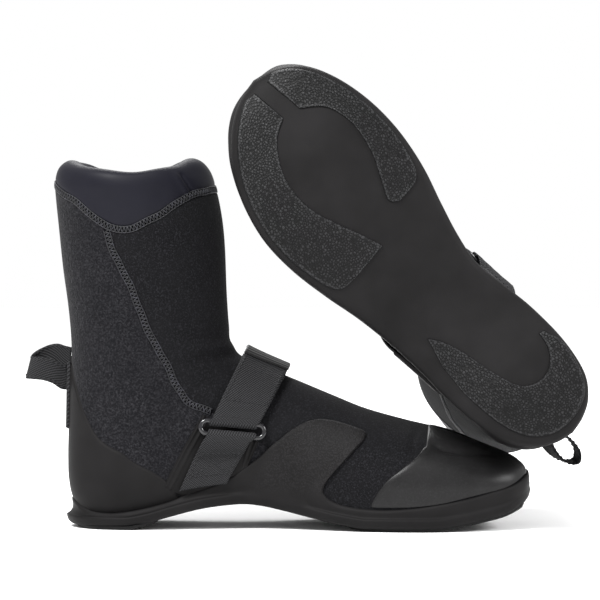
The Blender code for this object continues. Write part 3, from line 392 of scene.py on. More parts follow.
def addWall(boot, name, outer, inner, finish, body, replaced=(), wrap=False, **more):
    # closed wall between an outer and an inner grid of the same shape
    rows, columns = outer.shape[:2]
    spots = np.concatenate([outer.reshape(-1, 3), inner.reshape(-1, 3)])
    return addPiece(boot, name, spots, slabFaces(rows, columns, wrap), finish, body, replaced, **more)


def joined(parts):
    # several (spots, faces) in one
    spots, faces, count = [], [], 0
    for some, their in parts:
        some = np.asarray(some).reshape(-1, 3)
        spots.append(some)
        faces.append(np.asarray(their) + count)
        count += len(some)
    return np.concatenate(spots), np.concatenate(faces)


def tube(path, up, radius, sides=8, closed=False, flatten=1.0):
    # Round wire along a path: path + radius (cos a . up + sin a . across), its ends drawn to a point.
    path, up = np.asarray(path, float), np.asarray(up, float)
    radius = np.broadcast_to(radius, len(path))
    if closed:
        along = unit(np.roll(path, -1, axis=0) - np.roll(path, 1, axis=0))
    else:
        along = unit(np.gradient(path, axis=0))
    across = unit(np.cross(along, np.broadcast_to(up, path.shape)))
    rise = np.cross(across, along)
    turn = np.linspace(0, 2 * math.pi, sides, endpoint=False)
    rings = path[:, None] + radius[:, None, None] * (flatten * np.cos(turn)[:, None] * rise[:, None]
                                                     + np.sin(turn)[:, None] * across[:, None])
    if not closed:
        first, last = (np.broadcast_to(path[k], (1, sides, 3)) for k in (0, -1))
        rings = np.concatenate([first, rings, last])
    return rings.reshape(-1, 3), gridFaces(len(rings), sides, wrapRows=closed, wrapColumns=True)


runningStitch = {"length": 2.2, "gap": 1.0, "radius": 0.52, "along": (0, 0.12, 0.5, 0.88, 1),
                 "arch": (-1.45, -0.35, 0.1, -0.35, -1.45), "girth": (0.35, 0.9, 1, 0.9, 0.35)}


def dashes(path, up):
    # Running stitch: threads end to end along a path, each of five rings of six points. A ring is its spot on the
    # path + arch x radius . up, with girth x radius (cos a . up + sin a . across) round it.
    length, radius = runningStitch["length"], runningStitch["radius"]
    walked = lengthsAlong(path)
    count = max(1, int((walked[-1] + runningStitch["gap"]) / (length + runningStitch["gap"])))
    starts = np.arange(count) * (length + runningStitch["gap"])
    at = starts[:, None] + np.array(runningStitch["along"]) * length
    rises = unit(readColumns(at, walked, np.broadcast_to(up, path.shape)))
    spots = readColumns(at, walked, path) + rises * (radius * np.array(runningStitch["arch"]))[:, None]
    across = unit(np.cross(unit(np.gradient(spots, axis=1)), rises))
    turn = np.linspace(0, 2 * math.pi, 6, endpoint=False)
    girth = (radius * np.array(runningStitch["girth"]))[:, None, None]
    rings = spots[:, :, None] + girth * (np.cos(turn)[:, None] * rises[:, :, None]
                                         + np.sin(turn)[:, None] * across[:, :, None])
    caps = np.array(((0, 5, 4, 3), (0, 3, 2, 1), (24, 25, 26, 27), (24, 27, 28, 29)))
    one = np.vstack([gridFaces(5, 6, wrapColumns=True), caps])
    faces = (one[None] + 30 * np.arange(count)[:, None, None]).reshape(-1, 4)
    return rings.reshape(-1, 3), faces


def cells(x, y, size):
    # Distance to the nearest and the second nearest of scattered points, and a chance value for the nearest one: a
    # field of pebbles. Each square cell has one point, scattered by the fraction of a sine with a large factor.
    x, y = np.asarray(x) / size, np.asarray(y) / size
    column, row = np.floor(x), np.floor(y)
    nearest = np.full(x.shape, 9.0)
    second = np.full(x.shape, 9.0)
    chance = np.zeros(x.shape)
    for stepX in (-1, 0, 1):
        for stepY in (-1, 0, 1):
            a, b = column + stepX, row + stepY
            wobble = np.sin(a * 127.1 + b * 311.7) * 43758.5453
            other = np.sin(a * 269.5 + b * 183.3) * 28001.8384
            pointX, pointY = a + wobble - np.floor(wobble), b + other - np.floor(other)
            distance = np.hypot(x - pointX, y - pointY)
            closer = distance < nearest
            second = np.where(closer, nearest, np.minimum(second, distance))
            chance = np.where(closer, (wobble * 7.3) % 1, chance)
            nearest = np.where(closer, distance, nearest)
    return nearest, second, chance


class Field:
    # a node's output that can be used in sums
    def __init__(self, tree, socket):
        self.tree, self.socket = tree, socket

    def join(self, operation, first, second):
        node = self.tree.nodes.new("ShaderNodeMath")
        node.operation = operation
        for slot, value in zip(node.inputs, (first, second)):
            if isinstance(value, Field):
                self.tree.links.new(value.socket, slot)
            else:
                slot.default_value = value
        return Field(self.tree, node.outputs[0])

    def __add__(self, other):
        return self.join("ADD", self, other)

    __radd__ = __add__

    def __sub__(self, other):
        return self.join("SUBTRACT", self, other)

    def __rsub__(self, other):
        return self.join("SUBTRACT", other, self)

    def __mul__(self, other):
        return self.join("MULTIPLY", self, other)

    __rmul__ = __mul__


class Finish:
    # one Principled material; fixed values go straight on its sockets
    def __init__(self, name, **fixed):
        self.material = bpy.data.materials.new(name)
        self.material.use_nodes = True
        self.tree = self.material.node_tree
        self.shader = self.tree.nodes["Principled BSDF"]
        for socket, value in fixed.items():
            self.shader.inputs[socket.replace("_", " ")].default_value = value

    def node(self, kind, settings, inputs, output=0):
        made = self.tree.nodes.new(kind)
        for key, value in settings.items():
            if key == "stops":
                ramp = made.color_ramp
                while len(ramp.elements) < len(value):
                    ramp.elements.new(0.5)
                for element, (at, shade) in zip(ramp.elements, value):
                    element.position, element.color = at, (shade, shade, shade, 1)
            else:
                setattr(made, key, value)
        for key, value in inputs.items():
            slot = made.inputs[key]
            if isinstance(value, Field):
                self.tree.links.new(value.socket, slot)
            else:
                slot.default_value = value
        return Field(self.tree, made.outputs[output])

    def place(self):
        return self.node("ShaderNodeTexCoord", {}, {}, "Object")

    def alongAcross(self):
        # the web's own two distances, from its UV map
        spot = self.node("ShaderNodeUVMap", {"uv_map": "alongAcross"}, {})
        return [self.node("ShaderNodeSeparateXYZ", {}, {0: spot}, k) for k in (0, 1)]

    def mark(self, name):
        return self.node("ShaderNodeAttribute", {"attribute_name": name}, {}, "Fac")

    def sine(self, value, pitch):
        # pitch in millimetres
        return self.node("ShaderNodeMath", {"operation": "SINE"}, {0: value * (2 * math.pi / (pitch * mm))})

    def noise(self, grain, detail=2.0, rough=0.5):
        # grain is the size of the pattern's features in millimetres
        return self.node("ShaderNodeTexNoise", {}, {"Vector": self.place(), "Scale": 1 / (grain * mm),
                                                     "Detail": detail, "Roughness": rough})

    def cells(self, grain):
        return self.node("ShaderNodeTexVoronoi", {}, {"Vector": self.place(), "Scale": 1 / (grain * mm)}, "Distance")

    def stops(self, value, *pairs):
        return self.node("ShaderNodeValToRGB", {"stops": pairs}, {0: value})

    def mix(self, share, first, second):
        # sockets 0, 6 and 7 are the factor and the two colours, and output 2 is the mixed one
        first, second = (shade if isinstance(shade, Field) else (*shade, 1) for shade in (first, second))
        return self.node("ShaderNodeMix", {"data_type": "RGBA"}, {0: share, 6: first, 7: second}, 2)

    def feed(self, **links):
        for socket, value in links.items():
            self.tree.links.new(value.socket, self.shader.inputs[socket.replace("_", " ")])
        return self

    def bump(self, height, depth, strength=1.0):
        # depth is the height's full size in millimetres
        return self.node("ShaderNodeBump", {}, {"Height": height, "Distance": depth * mm, "Strength": strength})


shades = {
    "plush": (0.005, 0.005, 0.006), "plushTip": (0.045, 0.044, 0.049), "slick": (0.0035, 0.0035, 0.004),
    "smoothSkin": (0.0045, 0.0045, 0.0075), "rubber": (0.0055, 0.0052, 0.0053), "rubberPale": (0.0095, 0.009, 0.0093),
    "tread": (0.002, 0.002, 0.0021), "treadCrest": (0.022, 0.022, 0.023), "webbing": (0.005, 0.005, 0.0054),
    # threadTipAndGlint: the thread's fibre-tip shade and also its painted glint
    "webbingCrest": (0.032, 0.032, 0.034), "thread": (0.003, 0.003, 0.004), "threadTipAndGlint": (0.022, 0.022, 0.03),
    "foam": (0.02, 0.02, 0.023), "lining": (0.012, 0.012, 0.014),
}


def makePlush():
    finish = Finish("plush_jersey", Roughness=0.95, **{"Specular_IOR_Level": 0.08, "Sheen_Weight": 0.05,
                                                      "Sheen_Roughness": 0.4})
    fibre = finish.noise(1.15, 4, 0.75)
    tuft = finish.noise(2.0, 2, 0.6)
    cloud = finish.noise(22, 3)
    tips = finish.stops(fibre * 0.8 + tuft * 0.2, (0.46, 0.0), (0.7, 1.0))
    colour = finish.mix(tips * 0.6, shades["plush"], shades["plushTip"])
    colour = finish.mix(finish.stops(cloud, (0.3, 0.0), (0.7, 0.4)), colour, (0.003, 0.003, 0.004))
    return finish.feed(Base_Color=colour, Normal=finish.bump(fibre + tuft * 1.4, 0.55, 0.9))


def makeSlick():
    finish = Finish("slick_jersey", Roughness=0.9, **{"Specular_IOR_Level": 0.07, "Sheen_Weight": 0.02,
                                                     "Sheen_Roughness": 0.5})
    knit = finish.noise(1.0, 4, 0.75)
    cloud = finish.noise(18, 3)
    tips = finish.stops(knit, (0.5, 0.0), (0.68, 1.0))
    colour = finish.mix(tips * 0.6, shades["slick"], (0.026, 0.026, 0.03))
    colour = finish.mix(finish.stops(cloud, (0.35, 0.0), (0.7, 0.4)), colour, (0.006, 0.006, 0.0068))
    return finish.feed(Base_Color=colour, Normal=finish.bump(knit, 0.3, 0.7))


def makeSmoothSkin():
    finish = Finish("smooth_skin", **{"Specular_IOR_Level": 0.1})
    cloud = finish.noise(16, 3)
    pore = finish.noise(0.35, 2, 0.6)
    colour = finish.mix(cloud, shades["smoothSkin"], (0.0075, 0.0074, 0.0115))
    return finish.feed(Base_Color=colour, Roughness=cloud * 0.16 + 0.42, Normal=finish.bump(pore, 0.05, 0.5))


def makeRubber(name, dots, rough):
    finish = Finish(name, **{"Specular_IOR_Level": 0.07})
    grain = finish.noise(0.5, 3, 0.65)
    cloud = finish.noise(30, 3)
    dot = finish.cells(1.05)
    colour = finish.mix(finish.stops(cloud, (0.3, 0.0), (0.72, 1.0)), shades["rubber"], shades["rubberPale"])
    height = grain
    if dots:
        wing = finish.mark("wing")
        height = grain * (1 - wing * 0.4) + (1 - dot * 1.3) * wing * 1.5
        colour = finish.mix(finish.stops(dot, (0.1, 0.35), (0.6, 0.0)) * wing, colour, (0.03, 0.029, 0.03))
    return finish.feed(Base_Color=colour, Roughness=cloud * 0.14 + rough, Normal=finish.bump(height, 0.14, 0.8))


def makeToeRubber():
    finish = Finish("toe_rubber", **{"Specular_IOR_Level": 0.17})
    grain = finish.noise(1.1, 3, 0.7)
    cloud = finish.noise(14, 3)
    # painted sheen: lighter cloud patches and grain flecks, mixed towards a paler rubber shade over the toe cap
    paintedSheen = cloud * 0.5 + finish.stops(grain, (0.5, 0.0), (0.72, 0.5))
    colour = finish.mix(paintedSheen, shades["rubber"], (0.016, 0.016, 0.0165))
    return finish.feed(Base_Color=colour, Roughness=cloud * 0.14 + 0.3, Normal=finish.bump(grain, 0.09, 0.8))


def makeTread():
    finish = Finish("tread_rubber", **{"Specular_IOR_Level": 0.14})
    grain = finish.noise(0.3, 2)
    crest = finish.mark("crest")
    pebble = finish.noise(0.8, 3, 0.6)
    colour = finish.mix(finish.stops(crest, (0.6, 0.0), (0.95, 0.9)), shades["tread"], shades["treadCrest"])
    return finish.feed(Base_Color=colour, Roughness=0.55 - crest * 0.2,
                       Normal=finish.bump(grain * 0.3 + pebble, 0.3, 0.7))


def makeWebbing():
    finish = Finish("webbing", Roughness=0.7, **{"Specular_IOR_Level": 0.12})
    along, across = finish.alongAcross()
    rib = finish.sine(across * 1.6 + along, 2.6)
    weft = finish.sine(along * 1.5 - across, 2.0)
    fibre = finish.noise(0.3, 2)
    weave = rib * 0.34 + weft * 0.16 + 0.5
    colour = finish.mix(finish.stops(weave * 0.75 + fibre * 0.3, (0.35, 0.0), (0.85, 1.0)), shades["webbing"],
                        shades["webbingCrest"])
    return finish.feed(Base_Color=colour, Normal=finish.bump(weave + fibre * 0.35, 0.5, 1.0))


def makeFastener():
    finish = Finish("hook_and_loop", Roughness=0.95, **{"Specular_IOR_Level": 0.2, "Sheen_Weight": 0.1})
    tuft = finish.noise(0.7, 3, 0.8)
    colour = finish.mix(finish.stops(tuft, (0.45, 0.0), (0.7, 1.0)), (0.003, 0.003, 0.0035), (0.03, 0.03, 0.034))
    return finish.feed(Base_Color=colour, Normal=finish.bump(tuft, 0.8, 1.0))


def makeRingPlastic():
    finish = Finish("ring_plastic", Base_Color=(0.006, 0.006, 0.007, 1), **{"Specular_IOR_Level": 0.5})
    scuff = finish.noise(3, 4, 0.6)
    return finish.feed(Roughness=finish.stops(scuff, (0.4, 0.1), (0.75, 0.3)), Normal=finish.bump(scuff, 0.02, 0.4))


def makeThread():
    finish = Finish("thread", Roughness=0.5, **{"Specular_IOR_Level": 0.3, "Sheen_Weight": 0.05})
    twist = finish.noise(0.35, 2, 0.6)
    paintedGlint = finish.noise(2.2, 2)
    # the lighter colour is partly the twist's fibre tips and partly painted glints
    colour = finish.mix(finish.stops(twist * 0.5 + paintedGlint * 0.5, (0.48, 0.0), (0.64, 1.0)), shades["thread"],
                        shades["threadTipAndGlint"])
    return finish.feed(Base_Color=colour, Normal=finish.bump(twist, 0.2, 0.8))


def makeDarkThread():
    finish = Finish("dark_thread", Roughness=0.6, **{"Specular_IOR_Level": 0.3})
    twist = finish.noise(0.3, 2)
    colour = finish.mix(twist, (0.002, 0.002, 0.0025), (0.008, 0.008, 0.0095))
    return finish.feed(Base_Color=colour, Normal=finish.bump(twist, 0.15, 0.8))


def makeFoam(name, shade, grain):
    finish = Finish(name, Roughness=0.9, **{"Specular_IOR_Level": 0.2})
    pore = finish.cells(grain)
    colour = finish.mix(finish.stops(pore, (0.1, 1.0), (0.7, 0.0)), shade, tuple(0.5 * value for value in shade))
    return finish.feed(Base_Color=colour, Normal=finish.bump(pore, 0.2, 0.7))


def finishEntry(finish, slot):
    return {"material": finish.material, "slot": slot}


finishes = {
    "plush": finishEntry(makePlush(), "jersey"),
    "slick": finishEntry(makeSlick(), "jersey"),
    "smoothSkin": finishEntry(makeSmoothSkin(), "smooth_skin"),
    "sole": finishEntry(makeRubber("sole_rubber", True, 0.5), "rubber"),
    "heel": finishEntry(makeRubber("heel_rubber", False, 0.5), "rubber"),
    "toe": finishEntry(makeToeRubber(), "toe_rubber"),
    "tread": finishEntry(makeTread(), "tread_rubber"),
    "webbing": finishEntry(makeWebbing(), "webbing"),
    "fastener": finishEntry(makeFastener(), "hook_and_loop"),
    "ring": finishEntry(makeRingPlastic(), "ring_plastic"),
    "thread": finishEntry(makeThread(), "thread"),
    "darkThread": finishEntry(makeDarkThread(), "thread"),
    "foam": finishEntry(makeFoam("footbed_foam", shades["foam"], 1.1), "footbed_foam"),
    "lining": finishEntry(makeFoam("lining_jersey", shades["lining"], 0.6), "jersey"),
}
print("finishes:", len(finishes))


sock = {"neoprene": 4.0, "cuffWall": 3.0, "rows": 230, "columns": 150, "rearRows": 190, "rearColumns": 110,
        "top": 22.8, "seamDip": 1.1, "seamWidth": 2.0, "turnStart": 8.5, "turnEnd": 9.6}


def panelEdge(section):
    # Angle of the front panel's edge: round the whole foot at the toe, then up along the side seam.
    share = ease((section - sock["turnStart"]) / (sock["turnEnd"] - sock["turnStart"]))
    return np.where(section > sock["turnStart"], math.pi + (sideSeam(section) - math.pi) * share, math.pi)


def panelGrid(first, last, rows, columns, angleOf):
    # Sections and angles of a panel whose last row lies on the cuff's seam: the seam's section at each column's
    # own angle is found by repeating the step from section to angle.
    even01 = (sectionsEvenly(first, last, rows) - first) / (last - first)
    shares = np.linspace(0, 1, columns)
    top = np.full(columns, last)
    for _ in range(8):
        top = cuffSeam(angleOf(top, shares))
    sections = first + even01[:, None] * (top - first)
    return sections, angleOf(sections, np.broadcast_to(shares, sections.shape))


def frontAngle(section, share):
    return (2 * share - 1) * panelEdge(section)


def rearAngle(section, share):
    edge = panelEdge(section)
    return edge + share * 2 * (math.pi - edge)


def seamValley(section, angle):
    # how deep the panels' edges turn in at their seams
    away = np.abs(np.abs((angle + math.pi) % (2 * math.pi) - math.pi) - panelEdge(section))
    side = bell(away * perRadian(section, angle), sock["seamWidth"]) * ease((section - 9) / 1)
    top = bell((cuffSeam(angle) - section) * perSection(section, angle), sock["seamWidth"])
    return -sock["seamDip"] * np.maximum(side, top)


def sockPanel(boot, name, sections, angles, finish, replaced):
    # outside: folded last - the seams' dip; inside: last - the neoprene's thickness
    outer = skin(sections, angles, seamValley(sections, angles))
    inner = lastPoint(sections, angles) - lastNormal(sections, angles) * sock["neoprene"]
    return addWall(boot, name, outer, inner, finish, "boot", replaced, weld=True)


def makeSock(boot):
    sections, angles = panelGrid(0.0, sock["top"], sock["rows"], sock["columns"], frontAngle)
    sockPanel(boot, "front_skin", sections, angles, "slick", ("front_panel", "sock_bottom"))
    sections, angles = panelGrid(sock["turnStart"] + 0.05, sock["top"], sock["rearRows"], sock["rearColumns"],
                                 rearAngle)
    sockPanel(boot, "rear_skin", sections, angles, "plush", ("rear_panel",))


footbed = {"first": 3.4, "last": 13.6, "lift": -5.4, "thickness": 2.5, "half": 0.5, "edge": 1.6, "rows": 160,
           "columns": 60}


def makeFootbed(boot):
    # Insole inside the sock: last + lift along the normal, and in from there by thickness x the root of how far it
    # is from the edge.
    rows, columns = footbed["rows"], footbed["columns"]
    sections = np.broadcast_to(sectionsEvenly(footbed["first"], footbed["last"], rows)[:, None], (rows, columns))
    share = np.linspace(-1, 1, columns)
    ends = ease((sections - footbed["first"]) / 1.5) * ease((footbed["last"] - sections) / 1.6)
    angles = math.pi + share * footbed["half"] * (0.35 + 0.65 * ends)
    spots, normal = lastPoint(sections, angles), lastNormal(sections, angles)
    away = edgeDistance(spots, allSides)
    rise = footbed["thickness"] * (0.2 + 0.8 * np.sqrt(ease(away / footbed["edge"])))
    under = spots + normal * footbed["lift"]
    addWall(boot, "insole", under, under - normal * rise[..., None], "foam", "boot", ("footbed",))


collar = {"rows": 64, "columns": 240, "creaseFrom": (73.0, 221.0), "creaseTo": (81.0, 207.5), "creaseDepth": 1.3,
          "creaseWidth": 1.3, "wave": 0.5, "ripple": 0.35}


def makeCuff(boot):
    # Rows from the seam up to the rim: last + (folds + lift) along the normal, where lift is a dip at the seam, a
    # bell across the crease's line, and sines of the angle that grow with the distance from the seam.
    angles = np.linspace(-math.pi, math.pi, collar["columns"], endpoint=False)
    seam = cuffSeam(angles)
    rise = np.linspace(0, 1, collar["rows"])[:, None] ** 0.8
    sections = seam + rise * (collarRim - seam)
    angles = np.broadcast_to(angles, sections.shape)
    spots = lastPoint(sections, angles)
    x, y, z = np.moveaxis(spots, -1, 0)
    fromSeam = (sections - seam) * perSection(sections, angles)
    lift = -sock["seamDip"] * bell(fromSeam, sock["seamWidth"])
    (x0, z0), (x1, z1) = collar["creaseFrom"], collar["creaseTo"]
    down = (z0 - z) / (z0 - z1)
    off = x - (x0 + (x1 - x0) * down)
    window = ease((down + 0.15) / 0.3) * ease((1.1 - down) / 0.2) * (y < 0)
    lift += window * (-collar["creaseDepth"] * bell(off, collar["creaseWidth"]) + 0.7 * bell(off + 3, 2.2))
    lift += ease(fromSeam / 12) * (collar["wave"] * np.sin(angles * 3 + 0.6)
                                   + collar["ripple"] * np.sin(angles * 7 + z / 8))
    normal = lastNormal(sections, angles)
    outer = spots + normal * (folds(spots) + lift)[..., None]
    inner = spots + normal * (lift - sock["cuffWall"])[..., None]
    addWall(boot, "collar", outer, inner, "smoothSkin", "boot", ("cuff",), wrap=True)


stitch = {"pitch": 2.3, "reach": 1.9, "radius": 0.42, "edgeRadius": 0.36, "height": 0.35}


def coverStitch(boot, name, sections, angles, replaced):
    # Cover stitch: a zigzag thread over the seam, spot + swing . across + weave . up with swing a triangle wave of
    # the distance along it, between two rows of beads.
    path = skin(sections, angles)
    normal = lastNormal(sections, angles)
    walked = lengthsAlong(path)
    at = np.linspace(0, walked[-1], int(walked[-1] / stitch["pitch"] * 8))
    spots, up = readColumns(at, walked, path), unit(readColumns(at, walked, normal))
    across = unit(np.cross(np.gradient(spots, axis=0), up))
    phase = at / stitch["pitch"] % 1
    swing = (1 - 4 * np.abs(phase - 0.5)) * stitch["reach"]
    wander = 0.25 * np.sin(at / 7) + 0.2 * np.sin(at / 2.9)
    weave = stitch["height"] * (1.15 - (swing / stitch["reach"]) ** 2 * 0.6)
    zigzag = spots + across * (swing + wander)[:, None] + up * (weave - 0.3)[:, None]
    parts = [tube(zigzag, up, stitch["radius"], 6)]
    for side in (-1, 1):
        beads = stitch["edgeRadius"] * (0.75 + 0.35 * np.abs(np.sin(at * math.pi / stitch["pitch"] + side)))
        row = spots + across * (side * stitch["reach"] + wander)[:, None] + up * (0.1 * beads)[:, None]
        parts.append(tube(row, up, beads, 6))
    addPiece(boot, name, *joined(parts), "thread", "boot", replaced, weld=True)


def makeSeams(boot):
    angles = np.linspace(-math.pi, math.pi, 600)
    coverStitch(boot, "cuff_stitch", cuffSeam(angles), angles, ("cuff_seam_stitching",))
    for name, sign in (("inner", -1), ("outer", 1)):
        sections = np.linspace(12.2, 22.7, 400)
        below = sections[sections < cuffSeam(sign * sideSeam(sections)) + 0.04]
        coverStitch(boot, f"side_stitch_{name}", below, sign * sideSeam(below), (f"seam_stitching_{name}",))


# The upper edge of the sole: where its foot is along the sole, and the edge's own x and z in the side view.
soleEdgeInner = ((-3, -3, 18.9), (3, 3, 18.3), (9, 9, 13.2), (17.5, 17.5, 10.4), (30.6, 30.6, 9.6), (48, 48, 12.3),
                 (65.6, 65.6, 17), (78, 78, 22.4), (87, 87.5, 25.8), (94, 97, 29.6), (101, 107, 34.6),
                 (107, 115.4, 40.4), (112, 123, 46.2), (116, 128.8, 51.9), (120, 135, 56.6), (124, 141, 61.4),
                 (128, 149.4, 66), (132, 158, 68.1), (136, 167.5, 67.2), (140, 180, 63.6), (143, 187.6, 60.4),
                 (145, 187, 56.4), (147, 183, 52.2), (149, 175.9, 44.6), (151, 167.5, 35.6), (153, 162.8, 29.4),
                 (156, 161.2, 24.4), (161, 164, 20), (169, 170.6, 16.6), (181, 181, 14.4), (196.9, 196.9, 13.4),
                 (212, 212, 14.2), (224.4, 224.4, 15.6), (249.8, 249.8, 20), (266.9, 266.9, 24.5),
                 (279.8, 279.8, 28.6), (287, 287, 33), (291.6, 292, 36))
soleEdgeOuter = ((-3, -3, 18.9), (3, 3, 18.3), (9, 9, 13.2), (30.6, 30.6, 9), (48, 48, 12.5), (78, 78, 21),
                 (107, 107, 25), (140, 140, 21.5), (165, 165, 16.5), (190, 190, 14), (224.4, 224.4, 15),
                 (249.8, 249.8, 20), (279.8, 279.8, 28.3), (287, 287, 33), (291.6, 292, 36))
underLine = ((-6, 0), (8, 0), (20, 0), (38, 0), (46, 1.2), (55, 3.3), (65, 6.3), (86, 11.5), (108, 14), (122, 13.2),
             (137, 10.2), (153, 6.4), (168, 3), (182, 0.6), (190, 0), (226, 0), (240, 1.3), (261, 5.3), (274, 8.2),
             (283, 11.7), (292, 16.5))
soleOutline = ((0, -3), (2.5, -14), (9, -25), (22, -34), (45, -38.5), (72, -39), (95, -36.5), (116, -34.2),
               (136, -37.2), (158, -43), (180, -49.5), (205, -54), (228, -54.5), (250, -51.5), (268, -45.5),
               (280, -37.5), (288, -26), (291.5, -12.5), (288.5, 1), (282, 14), (272, 26), (257, 38), (238, 47),
               (215, 52.5), (190, 52.5), (165, 48.5), (140, 43), (115, 39.5), (92, 38), (68, 38), (45, 36),
               (24, 30.5), (9, 19), (2.5, 8))
sole = {"stations": 340, "wallRows": 16, "edgeSteps": 1200, "outlineSteps": 900, "sidewall": 6.5, "flare": 8.0,
        "wall": 2.0, "tread": 1.0, "heelAxis": (36.0, -1.5), "toeAxis": (238.0, -4.0), "toeTip": 17,
        "rim": ((0.15, 5), (0.6, 3.4), (1.3, 2), (2.4, 0.95), (4.2, 0.25), (7, 0), (11, 0)),   # inset and rise
        "under": (0.8, 0.6, 0.4, 0.2)}


def underside(x):
    # height of the tread's bottom over the ground
    points = splineRows(underLine, np.linspace(0, len(underLine) - 1, 600))
    return np.interp(x, points[:, 0], np.maximum(points[:, 1], 0))


def sockTree():
    # the plain last's lower part, for rays to meet
    rows = lastPoint(np.linspace(0, 20, 200)[:, None], np.linspace(-math.pi, math.pi, 240))
    return BVHTree.FromPolygons(rows.reshape(-1, 3).tolist(), gridFaces(*rows.shape[:2]).tolist())


def castOut(tree, starts, ways):
    # where rays from inside the sock meet it, and its normals there; a ray that misses takes the nearest spot
    found = [tree.ray_cast(Vector(start), Vector(way))[:2] for start, way in zip(starts, ways)]
    for k in [k for k, (spot, _) in enumerate(found) if spot is None]:
        found[k] = tree.find_nearest(Vector(starts[k] + ways[k] * 30))[:2]
    return np.array([spot for spot, _ in found]), np.array([normal for _, normal in found])


def soleSide(edge, outline):
    # One side of the sole: its outline, and rows of how far along the outline a column's foot is, with the x and z of
    # that column's top.
    steps = sole["outlineSteps"]
    dense = even(splineRows(outline, np.linspace(0, len(outline) - 1, steps)), steps)
    edge = np.array(edge, float)
    feet = np.interp(edge[:, 0], dense[:, 0], np.linspace(0, 1, steps))
    feet[0], feet[-1] = 0, 1
    rows = splineRows(np.column_stack([feet, edge[:, 1:]]), np.linspace(0, len(edge) - 1, sole["edgeSteps"]))
    rows[:, 0] = np.maximum.accumulate(np.clip(rows[:, 0], 0, 1))
    return dense, rows


def soleColumns(tree, dense, rows, share):
    # Columns from the upper edge down the wall and under to the axis, share being how far along the edge each is.
    # Wall = spot where a level ray from the axis meets the last + normal x wall, drawn out to the outline by flare,
    # which is the square of how near it is to the ground. Its foot is on the outline, and it leans to its top.
    at = share * (len(rows) - 1)
    foot, topX, topZ = splineRows(rows, at).T
    spot = readColumns(foot, np.linspace(0, 1, len(dense)), dense)
    heel, toe = np.array(sole["heelAxis"]), np.array(sole["toeAxis"])
    along = np.clip(((spot - heel) @ (toe - heel)) / np.dot(toe - heel, toe - heel), 0, 1)
    axis = heel + along[:, None] * (toe - heel)
    radius = np.linalg.norm(spot - axis, axis=1)
    way = (spot - axis) / radius[:, None]
    ground = underside(spot[:, 0]) + sole["tread"]
    widest = ground + sole["sidewall"]
    inMiddle = ease((spot[:, 0] - 60) / 12) * ease((230 - spot[:, 0]) / 12)
    lean = (topX - spot[:, 0]) * inMiddle
    length = np.hypot(lean, topZ - widest)
    near = np.array((0, 0.3, 0.8, 1.6))
    down = np.concatenate([near[:, None] / length, 1.6 / length
                           + np.linspace(0, 1, sole["wallRows"] - 3)[1:, None] * (1 - 1.6 / length)])
    height = topZ + down * (widest - topZ)
    # the wall keeps upright where the edge is straight over its foot, and leans smoothly where it isn't
    shift = lean * np.clip(1 - down, 0, 1) ** 1.1
    starts = np.stack([axis[:, 0] + shift, np.broadcast_to(axis[:, 1], shift.shape), height], axis=-1)
    ways = np.broadcast_to(np.column_stack([way, np.zeros(len(way))]), starts.shape)
    hits, normals = castOut(tree, starts.reshape(-1, 3), ways.reshape(-1, 3))
    hits, normals = hits.reshape(starts.shape), unit(normals.reshape(starts.shape))
    normals *= np.sign(np.sum(normals[..., :2] * way, axis=-1))[..., None]
    wall = np.full(down.shape, sole["wall"])
    wall[:4] = np.array((0.1, 1.0, 1.6, 1.9))[:, None]
    # the wall runs out to the outline over a greater height at the back of the heel
    flareHeight = sole["flare"] * (1 + ease((16 - spot[:, 0]) / 16))
    flare = np.clip(1 - (height - widest) / flareHeight, 0, 1) ** 2
    outer = hits + normals * wall[..., None]
    target = np.concatenate([np.broadcast_to(spot, (len(down), *spot.shape)), height[..., None]], axis=-1)
    outer = outer + (target - outer) * flare[..., None]
    inner = (hits - normals * 1.2)[::5]
    # under the wall it turns in over a rounded rim, then runs level to the axis
    rings = [(radius - inset, rise) for inset, rise in sole["rim"]]
    rings += [(rings[-1][0] * part, 0) for part in sole["under"]]
    turned = []
    for length, rise in rings:
        reach = axis + way * length[:, None]
        turned.append(np.column_stack([reach, underside(reach[:, 0]) + sole["tread"] + rise]))
    wing = np.concatenate([np.clip((outer[..., 2] - 20) / 8, 0, 1) * ease((spot[:, 0] - 112) / 10)
                           * ease((200 - spot[:, 0]) / 20), np.zeros((len(turned), len(spot)))])
    return inner[::-1], np.concatenate([outer, np.array(turned)]), axis, wing


